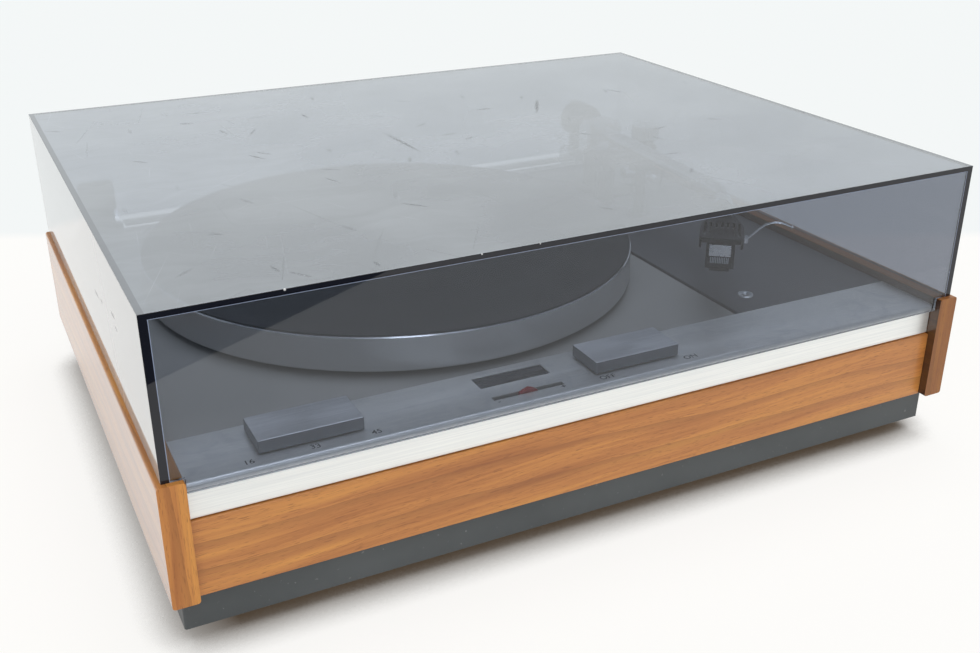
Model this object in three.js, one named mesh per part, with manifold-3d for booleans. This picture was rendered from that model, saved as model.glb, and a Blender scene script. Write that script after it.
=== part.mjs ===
// Belt-driven turntable with a sprung inner frame, a pivoted arm and a hinged smoked cover.
// Millimetres, +Z up. The origin is on the floor, under the middle of the outer box.
import * as THREE from "three";
import { mergeVertices } from "three/addons/utils/BufferGeometryUtils.js";
import Module from "manifold-3d";

const wasm = await Module();
wasm.setup();

// Making
const radians = THREE.MathUtils.degToRad;
const weld = 0.001;
const overrun = 2;
const seatGap = 0.3;
const fineSides = 64;
const roundSides = 24;
const smallSides = 12;
const hexSides = 6;
const arcSteps = 3;

// Wooden plinth
const boardThickness = 12.75;
const boardHeight = 63.5;
const boardEdgeRadius = 1.5;
const panelThickness = 12;
const frontPanelHeight = 40;
const frontPanelRecess = 5;
const rearPanelRecess = 4;
const battenWidth = 12;
const battenHeight = 20;

// Dark base under the plinth
const footHeight = 9;
const footRadius = 15;
const footTaper = 2;
const footInset = 34;
const footScrewRadius = 5;
const footScrewDepth = 5;
const baseHeight = 19.6;
const baseSideInset = 5.4;
const baseFrontInset = 9.6;
const baseWall = 16;
const baseRebate = 6;
const baseRebateDepth = 4;
const baseEdgeRadius = 1.2;
const cornerBlock = 36;
const bottomPanelThickness = 3.2;
const bottomPanelPlay = 0.6;
const adjustHoleRadius = 9;
const ventWidth = 4;
const ventLength = 46;
const ventPitch = 12;
const ventCount = 5;
const ventSideInset = 121.75;
const ventRearInset = 52;

// Deck sheets
const deckDrop = 4.6;
const panelSheet = 1.5;
const deckSheet = 1.5;
const panelFrontY = 6.6;
const panelDepth = 41.2;
const panelFoldRadius = 2;
const panelSidePlay = 0.35;
const flangeRise = 0.6;
const deckFoldGap = 0.3;
const deckSidePlay = 0.2;
const bayGap = 2.6;
const bayWidth = 110.65;
const bayFlangeHeight = 10;

// Controls on the panel
const knobLength = 51.2;
const knobDepth = 24.6;
const knobHeight = 6.6;
const knobBevel = 0.4;
const knobLift = 0.5;
const knobFrontY = 17;
const speedKnobInset = 61.65;
const powerKnobShift = 64;
const stemLength = 10;
const stemWidth = 4;
const stemDepth = 10;
const stemPlay = 0.5;
const speedTravel = 9;
const powerTravel = 9;
const switchLength = 44;
const switchDepth = 14;
const switchHeight = 16;
const pitchSlotShift = 1;
const pitchSlotY = 17.5;
const pitchSlotPlay = 1;
const pitchSlotWidth = 3.6;
const pitchTravel = 14;
const pitchTabLength = 10;
const pitchTabWidth = 2.4;
const pitchTabRise = 2.2;
const pitchBodyLength = 62;
const pitchBodyDepth = 9;
const pitchBodyHeight = 12;
const pitchCrownShare = 0.55;

// Strobe window
const windowShift = 1.4;
const windowY = 35.8;
const windowLength = 40;
const windowDepth = 11.6;
const windowLedge = 1.8;
const windowPlay = 0.3;
const windowPane = 1.2;
const mirrorLength = 36;
const mirrorDepth = 14;
const lampRadius = 4;
const lampLength = 24;
const lampY = 60;
const lampDrop = 7;
const lampClip = 5;
const slitDepth = 6;
const slitLength = 30;
const slitY = 71;

// Platter and bearing
const platterRadius = 150.5;
const platterSideGap = 25.25;
const platterFrontGap = 5.2;
const platterRearGap = 6;
const platterRimWall = 10;
const platterRimHeight = 19.6;
const platterLift = 3.7;
const platterWeb = 4;
const platterLip = 1.3;
const platterLipWidth = 3;
const platterRimRound = 0.8;
const platterRibGap = 10.673;
const platterRibWidth = 4;
const platterRibDepth = 5;
const matThickness = 2.5;
const matPlay = 0.5;
const matStepRadius = 51;
const matStepDepth = 0.8;
const matGrooveRadius = 88;
const matGrooveWidth = 2;
const innerInset = 65.5;
const innerHeight = 13;
const innerWall = 6;
const innerWebThickness = 5;
const innerBossRadius = 12;
const innerHubRadius = 16;
const innerHubDrop = 4;
const spindleRadius = 5;
const spindlePlay = 0.1;
const pinRadius = 3.55;
const pinHeight = 12;
const pinTaper = 3;
const housingRadius = 12.7;
const housingTopGap = 0.5;
const housingBottom = 24;
const housingFloor = 5;
const housingFlangeRadius = 20;
const housingFlange = 3;

// Motor and belt
const motorSpan = 20.7273;
const motorAngle = 44.0418;
const motorRadius = 29;
const motorHeight = 34;
const motorFlangeRadius = 33;
const motorFlange = 4;
const motorBossRadius = 8;
const motorBossRise = 3;
const motorBoreDepth = 24;
const motorRim = 3;
const shaftRadius = 2;
const shaftPlay = 0.12;
const pulleyRadius = 11.35;
const pulleyFlangeRadius = 12.6;
const pulleyFlange = 1;
const pulleyHoleRadius = 17;
const beltWidth = 4;
const beltThickness = 0.9;
const beltRise = 8;
const beltSteps = 24;
const floatTravel = 2;
const beltPlay = 0.2;

// Sprung inner frame
const frameTop = 59;
const frameSheet = 3;
const frameRibHeight = 7;
const frameRibWidth = 4;
const frameCornerRadius = 10;
const bearingBossRadius = 24;
const bearingBossDrop = 8;
const springLeftInset = 69.75;
const springLeftBehind = 11.5;
const springBayInset = 29.1;
const springRearInset = 38;
const springFrontInset = 36.2;
const cupRadius = 13.5;
const cupHeight = 9;
const cupRecess = 5;
const cupBoreRadius = 11.4;
const boltHoleRadius = 5;
const boltRadius = 2.5;
const boltHeadRadius = 9;
const boltHead = 2;
const boltBottom = 19;
const boltNutRadius = 6;
const boltNut = 4;
const boltWasherRadius = 11;
const boltWasher = 2;
const springSeat = 27;
const springRadius = 9;
const springWire = 0.8;
const springTurns = 6;
const springStepsPerTurn = 8;
const springSides = 5;
const lighteningRadius = 17;
const spacerRadius = 7;

// Arm board
const armboardThickness = 10;
const armboardGap = 0.7;
const armboardRearGap = 1;
const eyeletSideInset = 20.4;
const eyeletFrontInset = 19.6;
const eyeletRadius = 4.9;
const eyeletSleeveRadius = 3.2;
const eyeletBoreRadius = 1.9;
const eyeletRim = 0.8;
const eyeletDepth = 7;
const spacerInset = 18;
const spacerRearInset = 14;

// Arm geometry, seen from above
const pivotBayInset = 46.9;
const pivotRearInset = 82;
const armAxisRise = 46.5;
const armTurn = 3.8;
const armBend = 34.7;
const bendFrontInset = 80;
const armBendRadius = 45;
const bendToStylus = 60.9;
const armTubeRadius = 4.5;
const armTubeSteps = 24;

// Arm base, lift and rest
const armFlangeRadius = 24;
const armFlange = 3.5;
const armStepRadius = 19;
const armStep = 2.5;
const armColumnRadius = 12;
const armSleeveRadius = 10;
const armNutRadius = 15;
const armNut = 5;
const armColumnGap = 15;
const armBoreRadius = 4.2;
const armBoreDepth = 19;
const liftAngle = 20;
const liftRadius = 32;
const liftBarWidth = 5;
const liftBar = 2.5;
const liftBarStart = -6;
const liftBarEnd = 48;
const liftGap = 2.6;
const liftHousingRadius = 6;
const liftHousingHeight = 22;
const liftPlungerRadius = 2.5;
const liftPlungerPlay = 0.3;
const liftTongueWidth = 16;
const leverX = 18.5;
const leverY = -14;
const leverHubRadius = 4.2;
const leverHubLength = 10;
const leverHeight = 12;
const leverBoreRadius = 1.8;
const leverPinRadius = 1.5;
const leverRodRadius = 1.6;
const leverRodLength = 34;
const leverRodRise = 5;
const leverTipRadius = 3.2;
const leverPost = 4;
const leverPostDepth = 8;
const dialX = 44.5;
const dialY = 10;
const dialRadius = 10.4;
const dialHeight = 10.5;
const dialTopDrop = 3;
const dialTeeth = 30;
const dialTooth = 0.5;
const dialStubRadius = 2;
const dialStub = 5;
const dialPostRadius = 7;
const bracketDrop = 28;
const bracketHeight = 6;
const bracketWidth = 11;
const restDistance = 62;
const restPostRadius = 4;
const restFootRadius = 8;
const restFoot = 2;
const restCradleHeight = 9;
const restDepth = 10;
const restWall = 3.6;
const restLip = 7;
const restPlay = 0.4;
const restHornRise = 4;

// Gimbal and moving arm
const yokeGap = 0.4;
const yokeRadius = 14.6;
const yokeBase = 3.6;
const yokePinRadius = 4;
const yokePinLength = 16;
const yokeCheek = 3;
const yokeInner = 11;
const yokeCheekWidth = 13;
const yokeEyeRadius = 6.5;
const trunnionRadius = 1.5;
const trunnionPlay = 0.2;
const trunnionGrip = 3;
const blockHalfWidth = 9.5;
const blockHalfLength = 10;
const blockHalfHeight = 7;
const blockBevel = 1.5;
const stubRadius = 3.5;
const stubLength = 40;
const weightRadius = 13;
const weightLength = 20;
const weightStart = 21.5;
const weightPlay = 0.3;
const weightCollarRadius = 9;
const weightCollar = 4;
const weightBevel = 1.2;
const lockRingRadius = 6.2;
const lockRing = 8;

// Headshell, cartridge and finger lift
const shellWidth = 24.6;
const shellFront = 8;
const shellParallel = 14;
const shellBack = 34;
const shellBackWidth = 13;
const shellThickness = 3;
const shellCornerRadius = 2.5;
const shellSkirt = 3.2;
const shellSkirtWall = 1.5;
const shellSlotWidth = 1.4;
const shellSlotPitch = 3.2;
const shellSlotCount = 7;
const shellSlotFront = 3.5;
const shellSlotBack = 20;
const shellCollarRadius = 5.2;
const shellCollar = 7.6;
const cartridgeWidth = 15.8;
const cartridgeFront = 5.6;
const cartridgeBack = 19;
const cartridgeHeight = 15.4;
const cartridgeBackShare = 0.45;
const cartridgeNose = 1.2;
const stylusWidth = 11;
const stylusHeight = 3;
const stylusBack = 12;
const stylusDrop = 21.5;
const cantileverRadius = 0.5;
const tipRadius = 0.9;
const fingerRadius = 0.6;
const fingerAhead = 2;
const fingerReach = 25;
const fingerRise = 11;
const fingerTipRise = 9;
const fingerTipRadius = 1;
const fingerSteps = 18;
const fingerLugLength = 5;
const fingerLug = 2;
const fingerShoulderShare = 0.44;
const fingerShoulderRiseShare = 0.86;
const fingerCrestShare = 0.7;

// Smoked cover
const coverSideInset = 2.7;
const coverRearOverhang = 8.5;
const coverHeight = 79;
const coverFrontInset = 2.9;
const coverWall = 3;
const coverTab = 7.6;
const coverTabPlay = 0.55;

// Hinges at the rear
const hingeInset = 24.75;
const hingeAxisBehind = 7.5;
const hingeAxisDrop = 4;
const hingePinRadius = 2.5;
const hingeKnuckleRadius = 4.8;
const hingeBore = 0.2;
const hingeEarRadius = 7;
const hingeEar = 3;
const hingeKnuckleLength = 20;
const hingeEndPlay = 0.4;
const hingePlate = 2;
const hingePlateHeight = 34;
const hingePlateDrop = 2;
const hingeEarDepth = 12;
const hingeLeafHeight = 22;
const hingeLeafWidth = 24;
const hingeLeafRadius = 3;
const hingeLeafLift = 4;

// Parts on the rear and inside
const plateSideInset = 123.75;
const plateWidth = 74;
const plateHeight = 28;
const plateSheet = 1.5;
const plateZ = 56;
const socketRadius = 4.6;
const socketHoleRadius = 1.7;
const socketRise = 9;
const socketPitch = 18;
const socketBodyRadius = 5.2;
const socketBodyDepth = 9;
const groundRadius = 3.4;
const inletSideInset = 69.75;
const inletWidth = 26;
const inletHeight = 18;
const inletDepth = 16;
const inletRim = 2.5;
const inletFlange = 1.8;
const inletPinRadius = 1.4;
const inletPinPitch = 8.5;
const boardSideInset = 69.75;
const boardFrontInset = 27;
const boardLength = 112;
const boardWidth = 66;
const boardSheet = 1.6;
const boardStandoff = 6;
const standoffRadius = 3;
const standoffInset = 6;
const capacitorRadius = 8;
const capacitorHeight = 25;
const capacitorInset = 16;
const capacitorPitch = 24;
const sinkLength = 34;
const sinkWidth = 12;
const sinkHeight = 22;
const sinkFins = 5;
const sinkBaseShare = 0.25;
const chipLength = 14;
const chipGap = 6;
const chipPitch = 26;
const chipWidth = 7;
const chipHeight = 4;
const coreSideInset = 51.75;
const coreRearInset = 68;
const coreLength = 56;
const coreDepth = 18;
const coreHeight = 46;
const coilLength = 30;
const coilDepth = 38;
const coilHeight = 28;
const coreFoot = 2;
const coreFootLength = 70;
const coreFootDepth = 30;

// Heights from the floor up
const baseBottom = footHeight;
const boardBottom = baseBottom + baseHeight;
const boardTop = boardBottom + boardHeight;
const panelTop = boardTop - deckDrop;
const deckTop = panelTop - panelSheet;
const deckUnderside = deckTop - deckSheet;
const frontPanelTop = boardBottom + frontPanelHeight;
const bottomPanelTop = baseBottom + baseRebateDepth;
const bottomPanelUnderside = bottomPanelTop - bottomPanelThickness;
const rimBottom = deckTop + platterLift;
const rimTop = rimBottom + platterRimHeight;
const webTop = rimTop - platterLip;
const webBottom = webTop - platterWeb;
const innerTop = webBottom;
const innerBottom = innerTop - innerHeight;
const matTop = webTop + matThickness;
const housingTop = innerBottom - innerHubDrop - housingTopGap;
const beltBottom = deckTop + beltRise;
const beltTop = beltBottom + beltWidth;
const frameBottom = frameTop - frameSheet;
const cupBottom = frameTop - cupHeight;
const armboardTop = panelTop;
const armboardBottom = armboardTop - armboardThickness;
const armAxis = armboardTop + armAxisRise;
const columnTop = armAxis - armColumnGap;
const coverTop = boardTop + coverHeight;

// Places seen from above, with the front face of the plinth at y = 0.
// The plinth is as wide and deep as the platter and the arm's bay need.
const panelBackY = panelFrontY + panelDepth;
const platterY = panelBackY + platterFrontGap + platterRadius;
const plinthDepth = platterY + platterRadius + platterRearGap;
const plinthWidth = boardThickness * 2 + platterSideGap + platterRadius * 2 + bayGap + bayWidth;
const innerHalfWidth = plinthWidth / 2 - boardThickness;
const platterX = -innerHalfWidth + platterSideGap + platterRadius;
const bayEdgeX = platterX + platterRadius + bayGap;
const frontPanelBackY = frontPanelRecess + panelThickness;
const rearPanelBackY = plinthDepth - rearPanelRecess;
const rearPanelFrontY = rearPanelBackY - panelThickness;
const deckFrontY = panelFrontY + panelSheet + deckFoldGap;
const armboardLeftX = bayEdgeX + armboardGap;
const armboardRightX = innerHalfWidth - armboardGap;
const armboardFrontY = panelBackY + armboardGap;
const armboardRearY = rearPanelFrontY - armboardRearGap;
const eyeletX = armboardLeftX + eyeletSideInset;
const eyeletY = armboardFrontY + eyeletFrontInset;
const pivotX = bayEdgeX + pivotBayInset;
const pivotY = plinthDepth - pivotRearInset;
const armStraight = pivotY - panelBackY - bendFrontInset;
const knobCentreY = knobFrontY + knobDepth / 2;
const speedKnobX = -innerHalfWidth + speedKnobInset;
const powerKnobX = platterX + powerKnobShift;
const pitchSlotX = platterX - pitchSlotShift;
const pitchSlotLength = pitchTabLength + (pitchTravel + pitchSlotPlay) * 2;
const windowX = platterX - windowShift;
const baseHalfWidth = plinthWidth / 2 - baseSideInset;
const baseRearY = plinthDepth - baseFrontInset;
const coverWidth = plinthWidth - coverSideInset * 2;
const coverRearY = plinthDepth + coverRearOverhang;
const hingeAxisY = coverRearY + hingeAxisBehind;
const hingeAxisZ = boardTop - hingeAxisDrop;
const overallDepth = hingeAxisY + hingeEarRadius;
const innerRadius = platterRadius - innerInset;
const motorDistance = innerRadius + motorSpan;
const motorX = platterX - motorDistance * Math.cos(radians(motorAngle));
const motorY = platterY - motorDistance * Math.sin(radians(motorAngle));
const platterRibRadius = motorDistance + pulleyFlangeRadius + platterRibGap;
const springLeftX = -innerHalfWidth + springLeftInset;
const springLeftY = platterY + springLeftBehind;
const springRightX = bayEdgeX - springBayInset;
const springRearY = plinthDepth - springRearInset;
const springFrontY = panelBackY + springFrontInset;
const hingeX = innerHalfWidth - hingeInset;
const plateX = innerHalfWidth - plateSideInset;
const inletX = -innerHalfWidth + inletSideInset;
const boardX = -innerHalfWidth + boardSideInset;
const boardY = frontPanelBackY + boardFrontInset;
const coreX = -innerHalfWidth + coreSideInset;
const coreY = rearPanelFrontY - coreRearInset;
const ventX = -innerHalfWidth + ventSideInset;
const ventY = rearPanelFrontY - ventRearInset;

// Materials
const finishes = {
  veneer: { color: 0xa8713f, roughness: 0.45, metalness: 0 },
  blackWood: { color: 0x2b2c2e, roughness: 0.6, metalness: 0 },
  baseBlack: { color: 0x3c3f42, roughness: 0.5, metalness: 0 },
  hardboard: { color: 0x4d3a2a, roughness: 0.85, metalness: 0 },
  rubber: { color: 0x1c1c1d, roughness: 0.9, metalness: 0 },
  greyEnamel: { color: 0x6c7072, roughness: 0.45, metalness: 0.1 },
  brushedAluminium: { color: 0xdde0db, roughness: 0.35, metalness: 1 },
  castAluminium: { color: 0x9a9da0, roughness: 0.5, metalness: 1 },
  turnedAluminium: { color: 0x6d7276, roughness: 0.3, metalness: 1 },
  steel: { color: 0x9c9fa3, roughness: 0.35, metalness: 1 },
  blackSteel: { color: 0x232427, roughness: 0.4, metalness: 0.6 },
  chrome: { color: 0xd8dadc, roughness: 0.12, metalness: 1 },
  brass: { color: 0xb59b5a, roughness: 0.35, metalness: 1 },
  knobAluminium: { color: 0x53575a, roughness: 0.4, metalness: 0.8 },
  redPlastic: { color: 0xa02a2e, roughness: 0.4, metalness: 0 },
  blackPlastic: { color: 0x1a1b1d, roughness: 0.45, metalness: 0 },
  palePlastic: { color: 0xc9ccd0, roughness: 0.35, metalness: 0 },
  windowGlass: { color: 0x202428, roughness: 0.1, metalness: 0 },
  mirror: { color: 0xe8eaec, roughness: 0.05, metalness: 1 },
  circuit: { color: 0x2e5a3a, roughness: 0.6, metalness: 0 },
  smoke: { color: 0x5a636c, roughness: 0.08, metalness: 0 },
};
const materials = {};
for (const [name, look] of Object.entries(finishes)) {
  materials[name] = new THREE.MeshStandardMaterial(look);
}
materials.smoke.transparent = true;
materials.smoke.opacity = 0.45;

// Solids from geometries, and geometries from solids
function solid(geometry) {
  const source = geometry.index ? geometry.toNonIndexed() : geometry;
  const bare = new THREE.BufferGeometry();
  bare.setAttribute("position", source.getAttribute("position"));
  const merged = mergeVertices(bare, weld);
  const corners = merged.index.array;
  const faces = [];
  for (let i = 0; i < corners.length; i += 3) {
    const [a, b, c] = corners.slice(i, i + 3);
    if (a !== b && b !== c && c !== a) faces.push(a, b, c);
  }
  return new wasm.Manifold(
    new wasm.Mesh({
      numProp: 3,
      vertProperties: merged.attributes.position.array,
      triVerts: new Uint32Array(faces),
    }),
  );
}

function geometryOf(made) {
  const mesh = made.getMesh();
  const geometry = new THREE.BufferGeometry();
  geometry.setAttribute("position", new THREE.BufferAttribute(mesh.vertProperties, 3));
  geometry.setIndex(new THREE.BufferAttribute(mesh.triVerts, 1));
  const flat = geometry.toNonIndexed();
  flat.computeVertexNormals();
  return flat;
}

const join = (...solids) => solids.reduce((whole, next) => whole.add(next));
const cut = (body, ...tools) => tools.reduce((left, tool) => left.subtract(tool), body);

// A box from its low corner to its high corner.
function box(x0, y0, z0, x1, y1, z1) {
  const geometry = new THREE.BoxGeometry(x1 - x0, y1 - y0, z1 - z0);
  geometry.translate((x0 + x1) / 2, (y0 + y1) / 2, (z0 + z1) / 2);
  return solid(geometry);
}

// A box given by its middle in plan, its size in plan and its two heights.
function blockAt(x, y, length, depth, bottom, top) {
  return box(x - length / 2, y - depth / 2, bottom, x + length / 2, y + depth / 2, top);
}

// An upright cylinder.
function rod(x, y, radius, bottom, top, sides = roundSides) {
  const geometry = new THREE.CylinderGeometry(radius, radius, top - bottom, sides);
  geometry.rotateX(Math.PI / 2);
  geometry.translate(x, y, (bottom + top) / 2);
  return solid(geometry);
}

// A cylinder that lies along X or Y.
function rodAlong(axis, from, to, a, b, radius, sides = smallSides) {
  const geometry = new THREE.CylinderGeometry(radius, radius, to - from, sides);
  if (axis === "x") {
    geometry.rotateZ(Math.PI / 2);
    geometry.translate((from + to) / 2, a, b);
  } else {
    geometry.translate(a, (from + to) / 2, b);
  }
  return solid(geometry);
}

// A revolved profile of [radius, height] pairs about an upright axis at x, y.
function turned(profile, x = 0, y = 0, sides = roundSides) {
  const points = profile.map(([r, z]) => new THREE.Vector2(r, z));
  const geometry = new THREE.LatheGeometry(points, sides);
  geometry.rotateX(Math.PI / 2);
  geometry.translate(x, y, 0);
  return solid(geometry);
}

// An upright prism of a shape drawn in plan.
function prism(shape, bottom, top) {
  const geometry = new THREE.ExtrudeGeometry(shape, {
    depth: top - bottom,
    bevelEnabled: false,
    curveSegments: arcSteps,
  });
  geometry.translate(0, 0, bottom);
  return solid(geometry);
}

// A prism along X of a shape drawn in Y and Z.
function prismAlongX(shape, from, to) {
  const geometry = new THREE.ExtrudeGeometry(shape, {
    depth: to - from,
    bevelEnabled: false,
    curveSegments: arcSteps,
  });
  geometry.rotateX(Math.PI / 2);
  geometry.rotateZ(Math.PI / 2);
  geometry.translate(from, 0, 0);
  return solid(geometry);
}

// A prism along Y of a shape drawn in X and Z.
function prismAlongY(shape, from, to) {
  const geometry = new THREE.ExtrudeGeometry(shape, {
    depth: to - from,
    bevelEnabled: false,
    curveSegments: arcSteps,
  });
  geometry.rotateX(Math.PI / 2);
  geometry.translate(0, to, 0);
  return solid(geometry);
}

function roundedRectangle(x0, y0, x1, y1, radius) {
  const shape = new THREE.Shape();
  shape.moveTo(x0 + radius, y0);
  shape.lineTo(x1 - radius, y0);
  shape.absarc(x1 - radius, y0 + radius, radius, -Math.PI / 2, 0, false);
  shape.lineTo(x1, y1 - radius);
  shape.absarc(x1 - radius, y1 - radius, radius, 0, Math.PI / 2, false);
  shape.lineTo(x0 + radius, y1);
  shape.absarc(x0 + radius, y1 - radius, radius, Math.PI / 2, Math.PI, false);
  shape.lineTo(x0, y0 + radius);
  shape.absarc(x0 + radius, y0 + radius, radius, Math.PI, Math.PI * 1.5, false);
  return shape;
}

function polygon(points) {
  return new THREE.Shape(points.map(([x, y]) => new THREE.Vector2(x, y)));
}

function piece(name, made, finish) {
  const mesh = new THREE.Mesh(geometryOf(made), materials[finish]);
  mesh.name = name;
  return mesh;
}

// Plinth boards
function sideBoard(side) {
  const inner = side * innerHalfWidth;
  const outer = (side * plinthWidth) / 2;
  const [x0, x1] = side < 0 ? [outer, inner] : [inner, outer];
  const board = prismAlongY(
    roundedRectangle(x0, boardBottom, x1, boardTop, boardEdgeRadius),
    0,
    plinthDepth,
  );
  const battenEnd = side < 0 ? rearPanelFrontY : panelBackY;
  const battenInner = side * (innerHalfWidth - battenWidth);
  const battenOuter = side * (innerHalfWidth + overrun);
  const batten = box(
    Math.min(battenInner, battenOuter),
    frontPanelBackY,
    deckUnderside - battenHeight,
    Math.max(battenInner, battenOuter),
    battenEnd,
    deckUnderside,
  );
  return join(board, batten);
}

function frontPanel() {
  return box(
    -innerHalfWidth,
    frontPanelRecess,
    boardBottom,
    innerHalfWidth,
    frontPanelBackY,
    frontPanelTop,
  );
}

function rearPanel() {
  const board = box(
    -innerHalfWidth,
    rearPanelFrontY,
    boardBottom,
    innerHalfWidth,
    rearPanelBackY,
    deckUnderside,
  );
  const through = [rearPanelFrontY - overrun, rearPanelBackY + overrun];
  const sockets = socketPlaces().map(([x]) =>
    rodAlong("y", ...through, x, plateZ, socketBodyRadius + seatGap),
  );
  const inlet = box(
    inletX - inletWidth / 2 - seatGap,
    through[0],
    plateZ - inletHeight / 2 - seatGap,
    inletX + inletWidth / 2 + seatGap,
    through[1],
    plateZ + inletHeight / 2 + seatGap,
  );
  return cut(board, ...sockets, inlet);
}

// Base frame, its bottom panel and its feet
function baseFrame() {
  const outer = prism(
    roundedRectangle(-baseHalfWidth, baseFrontInset, baseHalfWidth, baseRearY, baseEdgeRadius),
    baseBottom,
    boardBottom,
  );
  const inner = prism(baseHollow(), baseBottom - overrun, boardBottom + overrun);
  const ledge = baseWall - baseRebate;
  const rebate = box(
    -baseHalfWidth + ledge,
    baseFrontInset + ledge,
    baseBottom - overrun,
    baseHalfWidth - ledge,
    baseRearY - ledge,
    bottomPanelTop,
  );
  return cut(outer, inner, rebate);
}

// The space inside the frame, cut off at its corners by the glued blocks.
function baseHollow() {
  const x = baseHalfWidth - baseWall;
  const front = baseFrontInset + baseWall;
  const rear = baseRearY - baseWall;
  return polygon([
    [-x + cornerBlock, front],
    [x - cornerBlock, front],
    [x, front + cornerBlock],
    [x, rear - cornerBlock],
    [x - cornerBlock, rear],
    [-x + cornerBlock, rear],
    [-x, rear - cornerBlock],
    [-x, front + cornerBlock],
  ]);
}

function bottomPanel() {
  const ledge = baseWall - baseRebate + bottomPanelPlay;
  const sheet = box(
    -baseHalfWidth + ledge,
    baseFrontInset + ledge,
    bottomPanelUnderside,
    baseHalfWidth - ledge,
    baseRearY - ledge,
    bottomPanelTop,
  );
  const low = bottomPanelUnderside - overrun;
  const high = bottomPanelTop + overrun;
  const holes = springPlaces().map(([x, y]) => rod(x, y, adjustHoleRadius, low, high, smallSides));
  for (let i = 0; i < ventCount; i += 1) {
    const y = ventY + (i - (ventCount - 1) / 2) * ventPitch;
    holes.push(blockAt(ventX, y, ventLength, ventWidth, low, high));
  }
  return cut(sheet, ...holes);
}

function footPlaces() {
  const x = baseHalfWidth - footInset;
  const front = baseFrontInset + footInset;
  const rear = baseRearY - footInset;
  return {
    foot_front_left: [-x, front],
    foot_front_right: [x, front],
    foot_rear_left: [-x, rear],
    foot_rear_right: [x, rear],
  };
}

function foot(x, y) {
  const profile = [
    [0, footScrewDepth],
    [footScrewRadius, footScrewDepth],
    [footScrewRadius, 0],
    [footRadius - footTaper, 0],
    [footRadius, footTaper],
    [footRadius, bottomPanelUnderside],
    [0, bottomPanelUnderside],
  ];
  return turned(profile, x, y);
}

// Deck plate under the platter and the controls
function deckPlate() {
  const halfWidth = innerHalfWidth - deckSidePlay;
  const outline = polygon([
    [-halfWidth, deckFrontY],
    [halfWidth, deckFrontY],
    [halfWidth, panelBackY],
    [bayEdgeX, panelBackY],
    [bayEdgeX, rearPanelFrontY],
    [halfWidth, rearPanelFrontY],
    [halfWidth, rearPanelBackY],
    [-halfWidth, rearPanelBackY],
  ]);
  const sheet = prism(outline, deckUnderside, deckTop);
  const frontFlange = box(
    -halfWidth,
    deckFrontY,
    frontPanelTop,
    halfWidth,
    deckFrontY + deckSheet,
    deckTop - deckSheet / 2,
  );
  const bayFlange = box(
    bayEdgeX - deckSheet,
    panelBackY,
    deckUnderside - bayFlangeHeight,
    bayEdgeX,
    rearPanelFrontY,
    deckTop - deckSheet / 2,
  );
  const low = deckUnderside - overrun;
  const high = deckTop + overrun;
  const holes = [
    rod(platterX, platterY, bearingBossRadius, low, high),
    rod(motorX, motorY, pulleyHoleRadius, low, high),
    blockAt(
      windowX,
      windowY,
      windowLength - windowLedge * 2,
      windowDepth - windowLedge * 2,
      low,
      high,
    ),
    blockAt(windowX, slitY, slitLength, slitDepth, low, high),
    blockAt(pitchSlotX, pitchSlotY, pitchSlotLength, pitchSlotWidth, low, high),
    stemSlot(speedKnobX, speedTravel, speedTravel, low, high),
    stemSlot(powerKnobX, 0, powerTravel, low, high),
  ];
  return cut(join(sheet, frontFlange, bayFlange), ...holes);
}

// The slot in which a slider's stem travels to the left and to the right.
function stemSlot(x, left, right, low, high) {
  return box(
    x - stemLength / 2 - left - stemPlay,
    knobCentreY - stemWidth / 2 - stemPlay,
    low,
    x + stemLength / 2 + right + stemPlay,
    knobCentreY + stemWidth / 2 + stemPlay,
    high,
  );
}

// Brushed control panel, folded down over its front edge
function controlPanel() {
  const halfWidth = innerHalfWidth - panelSidePlay;
  const flangeBottom = frontPanelTop + flangeRise;
  const fold = new THREE.Shape();
  fold.moveTo(panelFrontY, flangeBottom);
  fold.lineTo(panelFrontY + panelSheet, flangeBottom);
  fold.lineTo(panelFrontY + panelSheet, deckTop);
  fold.lineTo(panelBackY, deckTop);
  fold.lineTo(panelBackY, panelTop);
  fold.lineTo(panelFrontY + panelFoldRadius, panelTop);
  fold.absarc(
    panelFrontY + panelFoldRadius,
    panelTop - panelFoldRadius,
    panelFoldRadius,
    Math.PI / 2,
    Math.PI,
    false,
  );
  const sheet = prismAlongX(fold, -halfWidth, halfWidth);
  const low = deckTop - overrun;
  const high = panelTop + overrun;
  return cut(
    sheet,
    blockAt(windowX, windowY, windowLength, windowDepth, low, high),
    blockAt(pitchSlotX, pitchSlotY, pitchSlotLength, pitchSlotWidth, low, high),
    stemSlot(speedKnobX, speedTravel, speedTravel, low, high),
    stemSlot(powerKnobX, 0, powerTravel, low, high),
  );
}

function strobeWindow() {
  return blockAt(
    windowX,
    windowY,
    windowLength - windowPlay * 2,
    windowDepth - windowPlay * 2,
    deckTop,
    deckTop + windowPane,
  );
}

// A slanted mirror under the window.
function strobeMirror() {
  const front = windowY - mirrorDepth / 2;
  const back = windowY + mirrorDepth / 2;
  const wedge = polygon([
    [front, deckUnderside],
    [back, deckUnderside - mirrorDepth],
    [back, deckUnderside],
  ]);
  return prismAlongX(wedge, windowX - mirrorLength / 2, windowX + mirrorLength / 2);
}

function strobeLamp() {
  const z = deckUnderside - lampDrop;
  const bulb = rodAlong("x", windowX - lampLength / 2, windowX + lampLength / 2, lampY, z, lampRadius);
  const clip = blockAt(windowX, lampY, lampClip, lampClip, z, deckUnderside);
  return join(bulb, clip);
}

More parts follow.
